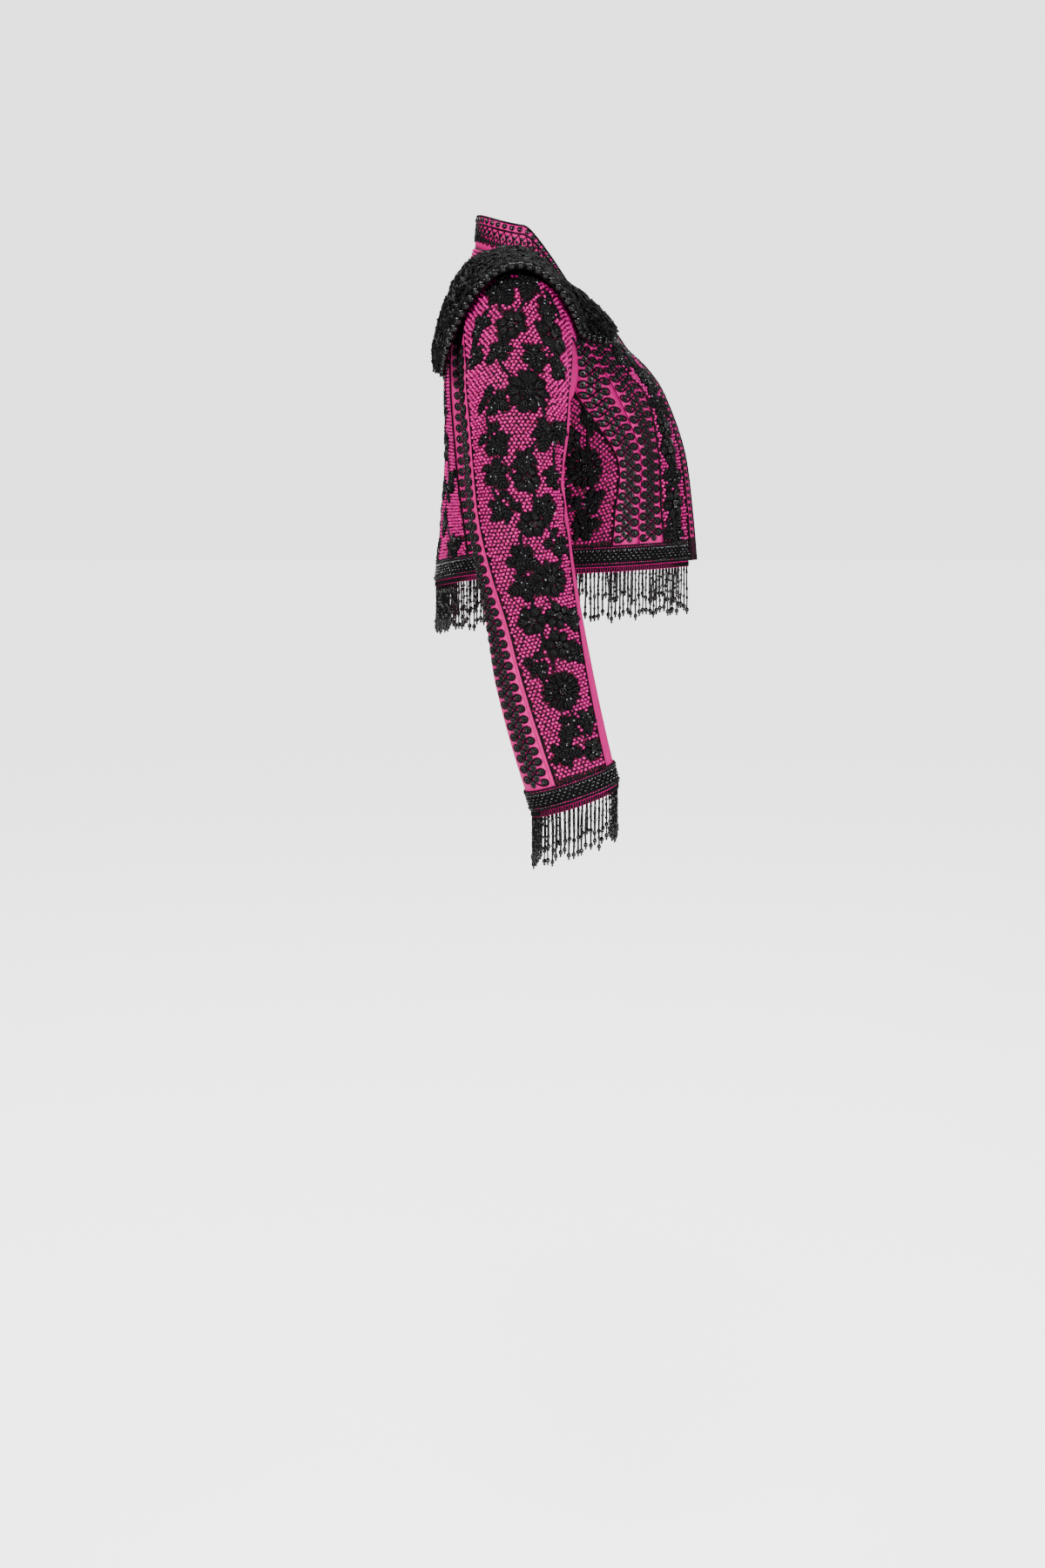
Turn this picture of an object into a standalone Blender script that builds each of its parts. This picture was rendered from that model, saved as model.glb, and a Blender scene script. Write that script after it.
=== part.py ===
# Matador jacket: a cropped fuchsia jacket worn open, with a stand collar, beaded
# shoulder capes, floral applique, and a beaded band and fringe at hem and cuffs.
#
# Metres, +Z up. The front faces -Y and the wearer's left is +X. The origin is at
# the centre of the neck, level with the collar seam at the side of the neck.
# The garment is hollow: every panel is a cloth wall cut along the real seams.

import math

import bmesh
import bpy
from mathutils import Vector
from mathutils.bvhtree import BVHTree
from mathutils.geometry import delaunay_2d_cdt

# ---- driving dimensions ----------------------------------------------------
WALL = 0.0022              # cloth, interlining and couched braid together
SEAM_GAP = 0.0003          # left open between neighbouring pieces
COLLAR_SEAT = 0.0006       # from the neck seam up to the collar
MOTIF_MARGIN = 0.0015      # least distance of a motif's points from a panel's edge
MOTIF_CLEAR = 0.003        # ring round a motif without points of the panel's own
APPLIQUE = 0.0032          # height of the beaded flowers over the cloth
LEAF_WIDTH = 0.62          # leaf width as a share of its length
PETAL_NOTCH = 0.66         # where two petals part, as a share of the radius
PETAL_CREST = 0.64

BAND_HEIGHT = 0.024        # black beaded band over the hem and the cuffs
BAND_THICKNESS = 0.0034
BAND_CLEARANCE = 0.0009
HEM_BAND_END = 156.0       # bearing where the hem band stops, behind the front band
HEM_BAND_STEP = 6.0        # bearing from one section of the hem band to the next
CUFF_BAND_STEPS = 20

TAPE_HEIGHT = 0.0062       # pink tape that carries the fringe
TAPE_THICKNESS = 0.0022
STRAND_WIDTH = 0.0021
BEAD_WIDTH = 0.0046        # end bead of a strand
BEAD_LENGTH = 0.0060
HEM_STRANDS = 108
CUFF_STRANDS = 36
HEM_FRINGE = 0.052         # strand length at the hem
CUFF_FRINGE = 0.053
FRINGE_WAVES = ((0.05, 2.4), (0.03, 0.9))   # share of the length, turn from strand to strand

CAPE_WALL = 0.0050         # shoulder cape with its crust of beaded braid
CAPE_LUMP = 0.0022
CAPE_BEAD = 0.0038         # half of an edge bead stands out of the cape's rim
CAPE_BEADS = 34
CAPE_CELLS = 7             # cells across a cape
CAPE_CLEARANCE = 0.0030    # between a cape and what it lies over
CAPE_REACH = 0.045
CAPE_LOOK = 0.0675         # how far down from there the cloth below is looked for
CAPE_EDGE = 0.01           # share of the width that counts as the edge
CAPE_LUMP_TURNS = (1.9, 31.0)   # of the crust's waves, along and across
CAPE_TURN = 1.3            # how a cape's crown turns outward, and how far it leans up
CAPE_LEAN = 0.12
CAPE_SUPPORTS = ("back_panel", "side_", "middle_front", "front_", "upper_sleeve")

# ---- the body of the jacket ------------------------------------------------
# Rings from the hem (level 0) up to the neck seam (level 7). A ring is widest at
# side_y. Its height runs from side_z to back_z and front_z. The powers round it:
# 2 is an ellipse, more is boxier and less is more pointed. front_y is where the
# two fronts would meet, though they stay apart.
TORSO_COLUMNS = ("half_width", "back_y", "side_y", "front_y",
                 "back_z", "side_z", "front_z", "back_power", "front_power")
TORSO_RINGS = (
    (0.166, 0.1090, -0.015, -0.2260, -0.395, -0.371, -0.3660, 2.4, 1.70),   # hem
    (0.161, 0.1010, -0.013, -0.2140, -0.325, -0.315, -0.3080, 2.4, 1.75),   # waist
    (0.157, 0.0955, -0.010, -0.1966, -0.245, -0.250, -0.2360, 2.4, 1.80),   # bust
    (0.157, 0.0955, -0.002, -0.1729, -0.165, -0.168, -0.1755, 2.4, 1.75),   # underarm
    (0.163, 0.0925, 0.005, -0.1548, -0.108, -0.110, -0.1480, 2.3, 1.60),    # chest
    (0.178, 0.0800, 0.012, -0.1345, -0.054, -0.056, -0.1270, 2.2, 1.30),    # shoulder tip
    (0.122, 0.0680, 0.008, -0.1223, -0.023, -0.042, -0.1110, 2.1, 1.50),    # mid shoulder
    (0.066, 0.0605, 0.004, -0.1145, 0.001, -0.019, -0.0995, 2.0, 1.85),     # neck seam
)
NECK = len(TORSO_RINGS) - 1

# Seams as bearings in degrees, 0 at the centre back, 90 at the side and 180 at
# the centre front, at each ring from the hem up.
SEAM_COLUMNS = ("back", "side_back", "side_front", "middle", "front", "band", "edge")
SEAM_ROWS = (
    (60.0, 66.0, 118.0, 131.0, 143.0, 156.8, 161.0),
    (54.0, 66.0, 121.5, 132.5, 143.5, 158.9, 163.0),
    (45.0, 67.0, 124.5, 136.0, 146.0, 161.0, 165.5),
    (40.0, 70.0, 109.0, 129.0, 146.5, 160.2, 165.0),
    (40.0, 70.0, 109.0, 119.0, 133.5, 159.2, 164.5),
    (44.0, 70.0, 109.0, 110.0, 131.0, 157.8, 164.0),
    (54.0, 70.0, 109.0, 104.0, 134.0, 155.8, 162.5),
    (64.0, 70.0, 109.0, 110.0, 140.0, 153.5, 162.0),
)

# The armhole: a rounded opening between two levels, about one bearing.
ARMHOLE_CORNER = 3.0       # level where the side panel's seams meet the armhole
ARMHOLE_MIDDLE = 3.8
ARMHOLE_HALF = 1.2
ARMHOLE_BEARING = 89.5
ARMHOLE_SPREAD = 21.9
ARMHOLE_POWER = 3.0
ARMHOLE_TWIST = 12.0       # how far the sleeve turns back at the underarm, degrees

# ---- sleeves -----------------------------------------------------------------
# Rings of the sleeve on the wearer's left, after the armhole, down to the cuff:
# the outer and inner points seen from the front, the front and back edges seen
# from the side, how far the front stands above the back, and the two seams, as
# angles from the outer line (front positive).
SLEEVE_COLUMNS = ("outer_x", "outer_z", "inner_x", "inner_z", "front_y", "back_y",
                  "front_lift", "back_seam", "front_seam")
SLEEVE_RINGS = (
    (0.207, -0.050, 0.1640, -0.2060, -0.0500, 0.0720, 0.000, -72.0, 80.0),      # cap
    (0.229, -0.100, 0.1670, -0.2135, -0.0490, 0.0710, 0.000, -72.0, 78.0),
    (0.243, -0.146, 0.1685, -0.2220, -0.0475, 0.0700, 0.000, -72.0, 76.0),
    (0.254, -0.206, 0.1690, -0.2340, -0.0455, 0.0665, 0.001, -70.0, 74.0),      # underarm
    (0.262, -0.262, 0.1690, -0.2720, -0.0400, 0.0635, 0.002, -66.0, 73.0),
    (0.269, -0.318, 0.1710, -0.3210, -0.0455, 0.0610, 0.004, -58.0, 72.0),
    (0.275, -0.372, 0.1790, -0.3740, -0.0520, 0.0530, 0.007, -48.0, 70.0),      # elbow
    (0.280, -0.424, 0.1860, -0.4250, -0.0600, 0.0435, 0.010, -38.0, 67.0),
    (0.284, -0.476, 0.1930, -0.4760, -0.0695, 0.0360, 0.012, -31.0, 64.0),
    (0.288, -0.528, 0.1990, -0.5280, -0.0800, 0.0230, 0.0135, -27.0, 62.0),
    (0.291, -0.575, 0.2040, -0.5750, -0.0905, 0.0090, 0.0145, -24.0, 60.0),
    (0.293, -0.6205, 0.2080, -0.6205, -0.1010, -0.0065, 0.0160, -22.0, 60.0),   # cuff
)
CUFF = len(SLEEVE_RINGS)

# ---- collar and shoulder capes ------------------------------------------------
# The collar stands on the neck seam: its height and how far it leans in towards
# the neck, at bearings from the centre back to its front end.
COLLAR_COLUMNS = ("bearing", "height", "lean")
COLLAR_ROWS = (
    (0.0, 0.0350, 0.003),
    (45.0, 0.0382, 0.004),
    (90.0, 0.0388, 0.006),
    (110.0, 0.0330, 0.006),
    (122.0, 0.0285, 0.006),
    (134.0, 0.0200, 0.005),
    (148.0, 0.0103, 0.004),
    (158.0, 0.0077, 0.002),
)
COLLAR_CELLS = 30

# Ribs of the shoulder cape on the wearer's left, from its back end over the
# shoulder to its front end: inner edge by the collar, outer edge over the sleeve
# head, and how far the middle crowns over the straight line between the two.
CAPE_COLUMNS = ("inner_x", "inner_y", "inner_z", "outer_x", "outer_y", "outer_z", "crown")
CAPE_RIBS = (
    (0.086, 0.103, -0.137, 0.146, 0.093, -0.147, 0.003),
    (0.060, 0.102, -0.110, 0.181, 0.087, -0.128, 0.005),
    (0.058, 0.092, -0.072, 0.200, 0.074, -0.097, 0.006),
    (0.061, 0.073, -0.030, 0.211, 0.054, -0.066, 0.005),
    (0.066, 0.040, -0.010, 0.218, 0.030, -0.045, 0.003),
    (0.071, 0.004, -0.010, 0.219, 0.002, -0.040, 0.002),
    (0.072, -0.028, -0.036, 0.212, -0.027, -0.057, 0.003),
    (0.071, -0.058, -0.065, 0.196, -0.042, -0.082, 0.003),
    (0.079, -0.078, -0.086, 0.166, -0.056, -0.106, 0.003),
    (0.087, -0.091, -0.101, 0.126, -0.087, -0.118, 0.001),
)

# ---- beaded applique ----------------------------------------------------------
# kind, level, bearing or angle, size (a leaf's length or a flower's width), turn
SLEEVE_MOTIFS = (
    ("leaf", 1.05, -22, 0.024, 60), ("leaf", 0.95, 3, 0.024, 90),
    ("leaf", 1.15, 26, 0.022, 125), ("leaf", 1.70, -40, 0.023, 100),
    ("bloom", 2.00, -6, 0.028, 20), ("bloom", 1.95, 40, 0.034, 0),
    ("leaf", 2.40, -50, 0.022, 40), ("leaf", 2.60, -20, 0.022, 150),
    ("leaf", 2.75, 20, 0.024, 75), ("leaf", 2.75, 48, 0.022, 110),
    ("daisy", 3.45, 12, 0.044, 0), ("bloom", 3.60, -26, 0.024, 30),
    ("leaf", 4.35, -26, 0.026, 50), ("leaf", 4.25, 34, 0.026, 100),
    ("leaf", 5.00, -24, 0.025, 60), ("bloom", 5.10, 12, 0.026, 10),
    ("leaf", 5.65, -18, 0.024, 140), ("leaf", 5.70, 34, 0.022, 80),
    ("bloom", 6.00, 14, 0.025, 0), ("leaf", 6.70, 0, 0.026, 30),
    ("bloom", 7.15, 28, 0.036, 15), ("leaf", 7.25, -6, 0.024, 170),
    ("bloom", 7.95, -2, 0.027, 0), ("bloom", 7.95, 30, 0.024, 30),
    ("bloom", 8.55, 24, 0.026, 15), ("leaf", 9.10, -12, 0.024, 70),
    ("daisy", 9.50, 14, 0.046, 10), ("leaf", 10.30, 42, 0.022, 95),
    ("leaf", 10.75, 4, 0.030, 10), ("bloom", 10.95, 38, 0.022, 0),
)
SIDE_MOTIFS = (
    ("daisy", 1.80, 110, 0.042, 0), ("bloom", 2.25, 105, 0.022, 0),
    ("leaf", 2.25, 115, 0.024, 80), ("leaf", 1.20, 111, 0.026, 20),
    ("leaf", 0.80, 109, 0.024, 10), ("daisy", 1.45, 84, 0.038, 15),
    ("leaf", 2.10, 86, 0.026, 70), ("leaf", 0.85, 86, 0.024, 150),
    ("leaf", 0.80, 74, 0.024, 40), ("bloom", 2.05, 76, 0.022, 0),
)
FRONT_MOTIFS = (
    ("leaf", 5.05, 148, 0.020, 70), ("bloom", 4.50, 146, 0.024, 0),
    ("leaf", 3.95, 149, 0.024, 75), ("bloom", 3.35, 153, 0.022, 0),
    ("leaf", 2.85, 154, 0.024, 100), ("bloom", 2.40, 154, 0.020, 20),
    ("bloom", 2.00, 153, 0.024, 0), ("leaf", 1.60, 153, 0.026, 80),
    ("bloom", 1.15, 151, 0.026, 10), ("leaf", 0.72, 150, 0.026, 60),
)
BACK_MOTIFS = (
    ("daisy", 3.20, 0, 0.048, 0), ("leaf", 4.10, 0, 0.030, 90),
    ("bloom", 5.00, 0, 0.028, 0), ("daisy", 1.20, 0, 0.046, 20),
    ("leaf", 2.20, 0, 0.030, 90), ("leaf", 4.40, 24, 0.028, 60),
    ("bloom", 3.50, 27, 0.030, 0), ("leaf", 2.70, 22, 0.028, 130),
    ("bloom", 2.15, 26, 0.030, 15), ("leaf", 1.60, 38, 0.028, 50),
    ("bloom", 1.00, 30, 0.030, 0), ("leaf", 0.62, 47, 0.026, 20),
)
PETALS = {"daisy": 9, "bloom": 6}

# ---- finishes ------------------------------------------------------------------
FINISHES = {
    "pink_lattice": ((0.62, 0.035, 0.21, 1.0), 0.60, 0.0),
    "pink_satin": ((0.78, 0.05, 0.30, 1.0), 0.45, 0.0),
    "black_beads": ((0.010, 0.010, 0.011, 1.0), 0.25, 0.0),
}


# ---- small helpers ---------------------------------------------------------------
def clear_scene():
    for thing in list(bpy.data.objects):
        bpy.data.objects.remove(thing, do_unlink=True)


def make_finish(name):
    colour, roughness, metallic = FINISHES[name]
    finish = bpy.data.materials.new(name)
    finish.use_nodes = True
    shader = finish.node_tree.nodes["Principled BSDF"]
    shader.inputs["Base Color"].default_value = colour
    shader.inputs["Roughness"].default_value = roughness
    shader.inputs["Metallic"].default_value = metallic
    return finish


def between(before, start, end, after, part):
    # one smooth curve through the four values, from start (0) to end (1)
    linear = end - before
    square = 2 * before - 5 * start + 4 * end - after
    cube = 3 * start - before - 3 * end + after
    return 0.5 * (2 * start + linear * part + square * part ** 2 + cube * part ** 3)


def neighbours(count, level):
    low = min(max(int(level), 0), count - 2)
    around = (max(low - 1, 0), low, low + 1, min(low + 2, count - 1))
    return around, min(max(level - low, 0.0), 1.0)


def row_at(columns, rows, level):
    around, part = neighbours(len(rows), level)
    picked = [rows[index] for index in around]
    return {name: between(*[row[column] for row in picked], part)
            for column, name in enumerate(columns)}


# ---- the body's surface -------------------------------------------------------------
def torso_point(level, bearing):
    ring = row_at(TORSO_COLUMNS, TORSO_RINGS, level)
    turn = math.radians(bearing)
    along, out = math.cos(turn), math.sin(turn)
    is_back = along > 0
    depth = ring["back_y"] - ring["side_y"] if is_back else ring["side_y"] - ring["front_y"]
    end_z = ring["back_z"] if is_back else ring["front_z"]
    power = ring["back_power"] + (ring["front_power"] - ring["back_power"]) * (1 - along) / 2
    reach = (abs(out / ring["half_width"]) ** power + abs(along / depth) ** power) ** (-1 / power)
    height = ring["side_z"] + (end_z - ring["side_z"]) * abs(along) ** 1.5
    return Vector((reach * out, ring["side_y"] + reach * along, height))


def armhole_reach(level):
    share = min(abs(level - ARMHOLE_MIDDLE) / ARMHOLE_HALF, 1.0)
    return ARMHOLE_SPREAD * (1 - share ** ARMHOLE_POWER) ** (1 / ARMHOLE_POWER)


def armhole_floor(bearing):
    share = min(abs(bearing - ARMHOLE_BEARING) / ARMHOLE_SPREAD, 1.0)
    drop = (1 - share ** ARMHOLE_POWER) ** (1 / ARMHOLE_POWER)
    return ARMHOLE_MIDDLE - ARMHOLE_HALF * drop


def seam(name):
    column = SEAM_COLUMNS.index(name)

    def bearing_at(level):
        around, part = neighbours(len(SEAM_ROWS), level)
        return between(*[SEAM_ROWS[index][column] for index in around], part)
    return bearing_at


def armhole_side(name, direction):
    # the panel's outer edge: its side seam, then the armhole, then the shoulder
    side_seam = seam(name)

    def bearing_at(level):
        if level < ARMHOLE_CORNER:
            return side_seam(level)
        if level < ARMHOLE_MIDDLE + ARMHOLE_HALF:
            return ARMHOLE_BEARING + direction * armhole_reach(level)
        return ARMHOLE_BEARING
    return bearing_at


def armhole_point(angle):
    # angle runs from the shoulder tip (0) over the front (90) to the underarm (180)
    turn = math.radians(angle)
    turn += math.radians(ARMHOLE_TWIST) * (1 - math.cos(turn)) / 2
    up, front = math.cos(turn), math.sin(turn)
    power = ARMHOLE_POWER
    reach = (abs(up) ** power + abs(front) ** power) ** (-1 / power)
    level = ARMHOLE_MIDDLE + ARMHOLE_HALF * reach * up
    bearing = ARMHOLE_BEARING + ARMHOLE_SPREAD * reach * front
    return surface_offset(torso_point, level, bearing, 1, WALL + 4 * SEAM_GAP)


def surface_normal(sheet, level, angle, outward):
    step_level, step_angle = 0.02, 0.5
    along = sheet(level + step_level, angle) - sheet(level - step_level, angle)
    across = sheet(level, angle + step_angle) - sheet(level, angle - step_angle)
    return (along.cross(across) * outward).normalized()


def surface_offset(sheet, level, angle, outward, distance):
    return sheet(level, angle) + surface_normal(sheet, level, angle, outward) * distance


# ---- the sleeve's surface --------------------------------------------------------------
def sleeve_ring_point(index, angle):
    if index == 0:
        return armhole_point(angle)
    ring = dict(zip(SLEEVE_COLUMNS, SLEEVE_RINGS[index - 1]))
    outer = Vector((ring["outer_x"], 0.0, ring["outer_z"]))
    inner = Vector((ring["inner_x"], 0.0, ring["inner_z"]))
    centre = (outer + inner) / 2
    centre.y = (ring["front_y"] + ring["back_y"]) / 2
    forward = Vector((0.0, (ring["front_y"] - ring["back_y"]) / 2, ring["front_lift"]))
    turn = math.radians(angle)
    return centre + (outer - inner) / 2 * math.cos(turn) + forward * math.sin(turn)


def sleeve_point(level, angle):
    around, part = neighbours(CUFF + 1, level)
    return between(*[sleeve_ring_point(index, angle) for index in around], part)


def sleeve_seam(name, turn=0.0):
    column = SLEEVE_COLUMNS.index(name)

    def angle_at(level):
        around, part = neighbours(CUFF, max(level - 1, 0.0))
        return between(*[SLEEVE_RINGS[index][column] for index in around], part) + turn
    return angle_at


# ---- cloth walls ----------------------------------------------------------------------
def motif_points(kind, size, turn):
    # outline points on the cloth (height 0) and crest points over it, as
    # (across, along, height) in metres about the motif's centre
    points = []
    half = size / 2
    spin = math.radians(turn)
    if kind == "leaf":
        wide = half * LEAF_WIDTH
        outline = ((-half, 0), (-0.35 * half, wide), (0.4 * half, 0.8 * wide),
                   (half, 0), (0.4 * half, -0.8 * wide), (-0.35 * half, -wide))
        points += [(x, y, 0.0) for x, y in outline]
        points += [(-0.4 * half, 0, 0.8 * APPLIQUE), (0.35 * half, 0, APPLIQUE)]
    else:
        petals = PETALS[kind]
        for petal in range(petals):
            tip = math.tau * petal / petals
            notch = tip + math.pi / petals
            points.append((half * math.cos(tip), half * math.sin(tip), 0.0))
            points.append((PETAL_NOTCH * half * math.cos(notch),
                           PETAL_NOTCH * half * math.sin(notch), 0.0))
            points.append((PETAL_CREST * half * math.cos(tip),
                           PETAL_CREST * half * math.sin(tip), APPLIQUE))
        points.append((0.0, 0.0, 1.2 * APPLIQUE))
    return [(x * math.cos(spin) - y * math.sin(spin),
             x * math.sin(spin) + y * math.cos(spin), z) for x, y, z in points]


def triangles(points, rim_count):
    rim = [(index, (index + 1) % rim_count) for index in range(rim_count)]
    _, _, faces, sources, _, _ = delaunay_2d_cdt(points, rim, [], 0, 1e-7)
    return [[sources[corner][0] for corner in face] for face in faces]


def add_object(name, mesh_data, finish, collection):
    bmesh.ops.recalc_face_normals(mesh_data, faces=mesh_data.faces)
    mesh = bpy.data.meshes.new(name)
    mesh_data.to_mesh(mesh)
    mesh_data.free()
    mesh.materials.append(finish)
    thing = bpy.data.objects.new(name, mesh)
    collection.objects.link(thing)
    return thing


def cloth_wall(sheet, outward, left, right, top, steps, columns,
               motifs=(), relief=None, thickness=WALL, side=1, staggered=False,
               rise=None, inner_step=2):
    """One closed wall about a sheet, between two seams and up to its top edge."""
    def size_at(along):
        level = along * top(0.5)
        middle = (left(level) + right(level)) / 2
        width = (sheet(level, right(level)) - sheet(level, middle)).length
        width += (sheet(level, middle) - sheet(level, left(level))).length
        return max(width, 0.002)

    samples = [sheet(top(0.5) * index / 12, (left(top(0.5) * index / 12)
                                             + right(top(0.5) * index / 12)) / 2)
               for index in range(13)]
    height = sum((b - a).length for a, b in zip(samples, samples[1:]))
    width = sum(size_at(along) for along in (0.1, 0.3, 0.5, 0.7, 0.9)) / 5

    def place(across, along, lift):
        inset = min(SEAM_GAP / 2 / size_at(along), 0.2)
        across = inset + across * (1 - 2 * inset)
        level = along * top(across)
        angle = left(level) + (right(level) - left(level)) * across
        point = sheet(level, angle)
        normal = surface_normal(sheet, level, angle, outward)
        point += normal * (lift + (rise(point, normal, across) if rise else 0.0))
        return Vector((point.x * side, point.y, point.z))

    shares = [index / columns for index in range(columns + 1)]
    rim = [(share, 0.0) for share in shares[:-1]]
    rim += [(1.0, step) for step in steps[:-1]]
    rim += [(share, 1.0) for share in reversed(shares[1:])]
    rim += [(0.0, step) for step in reversed(steps[1:])]

    raised = []
    centres = []
    for kind, level, angle, size, turn in motifs:
        along = level / top(0.5)
        across = (angle - left(level)) / (right(level) - left(level))
        local = size_at(along)
        for dx, dy, lift in motif_points(kind, size, turn):
            x = min(max(across * local + dx, MOTIF_MARGIN), local - MOTIF_MARGIN) / local
            y = min(max(along + dy / height, MOTIF_MARGIN / height), 1 - MOTIF_MARGIN / height)
            raised.append((x, y, lift))
        centres.append((across, along, size / 2 + MOTIF_CLEAR))

    def is_free(across, along):
        local = size_at(along)
        return all(math.hypot((across - x) * local, (along - y) * height) > radius
                   for x, y, radius in centres)

    inner_grid = [(share, step) for step in steps[inner_step:-inner_step:inner_step]
                  for share in shares[1:-1]]
    outer_grid = [(share, step) for row, step in enumerate(steps[1:-1])
                  for column, share in enumerate(shares[1:-1])
                  if is_free(share, step) and not (staggered and (row + column) % 2)]
    data = bmesh.new()
    faces_of = []
    loops = []
    for lift, grid in ((thickness / 2, [(x, y, 0.0) for x, y in outer_grid] + raised),
                       (-thickness / 2, [(x, y, 0.0) for x, y in inner_grid])):
        spots = [(x, y, 0.0) for x, y in rim] + grid
        if relief and lift > 0:
            spots = [(x, y, z + relief(x, y)) for x, y, z in spots]
        flat = [Vector((x * width, y * height)) for x, y, _ in spots]
        verts = [data.verts.new(place(x, y, lift + z)) for x, y, z in spots]
        for corners in triangles(flat, len(rim)):
            faces_of.append(data.faces.new([verts[corner] for corner in corners]))
        loops.append(verts[:len(rim)])
    outer, inner = loops
    for index in range(len(rim)):
        following = (index + 1) % len(rim)
        data.faces.new((outer[index], outer[following], inner[following], inner[index]))
    return data


def even_steps(*stops):
    # shares of a panel's height: cells between the stops, given as (level, cells)
    levels = [0.0]
    for level, cells in stops:
        start = levels[-1]
        levels += [start + (level - start) * (cell + 1) / cells for cell in range(cells)]
    return [level / levels[-1] for level in levels]


# ---- bands and fringe -----------------------------------------------------------------
def sweep(frames, profile, closed):
    # a closed profile of (out, up) points carried along frames of (point, out, up)
    data = bmesh.new()
    rings = [[data.verts.new(point + out * x + up * z) for x, z in profile]
             for point, out, up in frames]
    count = len(profile)
    pairs = list(zip(rings, rings[1:]))
    if closed:
        pairs.append((rings[-1], rings[0]))
    else:
        data.faces.new(rings[0])
        data.faces.new(list(reversed(rings[-1])))
    for first, second in pairs:
        for index in range(count):
            following = (index + 1) % count
            data.faces.new((first[index], second[index], second[following], first[following]))
    return data


def band_profile(height):
    edge = 0.0012
    return ((0.0, 0.0), (BAND_THICKNESS, edge), (0.7 * BAND_THICKNESS, height / 2),
            (BAND_THICKNESS, height - edge), (0.0, height))


def zip_rows(data, upper, lower):
    # triangles between two rows of (position, vertex) that run side by side
    row, other = 0, 0
    while row < len(upper) - 1 or other < len(lower) - 1:
        next_upper = upper[row + 1][0] if row < len(upper) - 1 else math.inf
        next_lower = lower[other + 1][0] if other < len(lower) - 1 else math.inf
        if next_upper < next_lower:
            data.faces.new((upper[row][1], upper[row + 1][1], lower[other][1]))
            row += 1
        else:
            data.faces.new((upper[row][1], lower[other + 1][1], lower[other][1]))
            other += 1


def fringe(path, strands, length, closed):
    """A tape with beaded strands fused to its lower edge. path(share) gives the
    top of the tape and the way out of the cloth there."""
    data = bmesh.new()
    span = 1.0 / strands
    total = sum((path((index + 1) * span)[0] - path(index * span)[0]).length
                for index in range(strands))
    half_share = STRAND_WIDTH / 2 / total
    down = Vector((0.0, 0.0, -TAPE_HEIGHT))

    def corner(share, side_out, drop):
        point, out = path(share % 1.0 if closed else share)
        offset = out * (side_out * TAPE_THICKNESS / 2)
        return data.verts.new(point + offset + (down if drop else Vector()))

    stops = [index * span for index in range(0, strands, 2)]
    if not closed:
        stops.append(1.0)
    tops = [[(share, corner(share, side_out, False)) for share in stops]
            for side_out in (1, -1)]
    outer_low, inner_low, roots = [], [], []
    if not closed:
        outer_low.append((0.0, corner(0.0, 1, True)))
        inner_low.append((0.0, corner(0.0, -1, True)))
    for index in range(strands):
        middle = (index + 0.5) * span
        first = corner(middle - half_share, 1, True)
        second = corner(middle + half_share, 1, True)
        third = corner(middle, -1, True)
        outer_low += [(middle - half_share, first), (middle + half_share, second)]
        inner_low.append((middle, third))
        roots.append((first, second, third))
    if closed:
        for rows in tops + [outer_low, inner_low]:
            rows.append((rows[0][0] + 1.0, rows[0][1]))
    else:
        outer_low.append((1.0, corner(1.0, 1, True)))
        inner_low.append((1.0, corner(1.0, -1, True)))
        for end in (0, -1):
            data.faces.new((tops[0][end][1], tops[1][end][1],
                            inner_low[end][1], outer_low[end][1]))
    zip_rows(data, tops[0], outer_low)
    zip_rows(data, tops[1], inner_low)
    for index in range(len(tops[0]) - 1):
        data.faces.new((tops[0][index][1], tops[0][index + 1][1],
                        tops[1][index + 1][1], tops[1][index][1]))
    for index in range(strands - (0 if closed else 1)):
        following = (index + 1) % strands
        data.faces.new((roots[index][1], roots[following][0],
                        roots[following][2], roots[index][2]))
    if not closed:
        data.faces.new((outer_low[0][1], roots[0][0], roots[0][2], inner_low[0][1]))
        data.faces.new((roots[-1][1], outer_low[-1][1], inner_low[-1][1], roots[-1][2]))
    for index, root in enumerate(roots):
        reach = length * (1 + sum(size * math.sin(index * turn) for size, turn in FRINGE_WAVES))
        hang_strand(data, root, reach)
    return data


def hang_strand(data, root, reach):
    centre = sum((vert.co for vert in root), Vector()) / 3
    ring = root
    for drop, swell in ((reach - BEAD_LENGTH, 1.0),
                        (reach - BEAD_LENGTH / 2, BEAD_WIDTH / STRAND_WIDTH)):
        lower = [data.verts.new(Vector((centre.x + (vert.co.x - centre.x) * swell,
                                        centre.y + (vert.co.y - centre.y) * swell,
                                        centre.z - drop)))
                 for vert in root]
        for index in range(3):
            following = (index + 1) % 3
            data.faces.new((ring[index], ring[following], lower[following], lower[index]))
        ring = lower
    tip = data.verts.new(centre - Vector((0.0, 0.0, reach)))
    for index in range(3):
        data.faces.new((ring[index], ring[(index + 1) % 3], tip))


# ---- the pieces -----------------------------------------------------------------------
def panel_steps():
    top = ARMHOLE_MIDDLE + ARMHOLE_HALF
    return even_steps((ARMHOLE_CORNER, 9), (top - 0.6, 4), (top - 0.2, 2), (top, 2), (NECK, 4))


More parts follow.
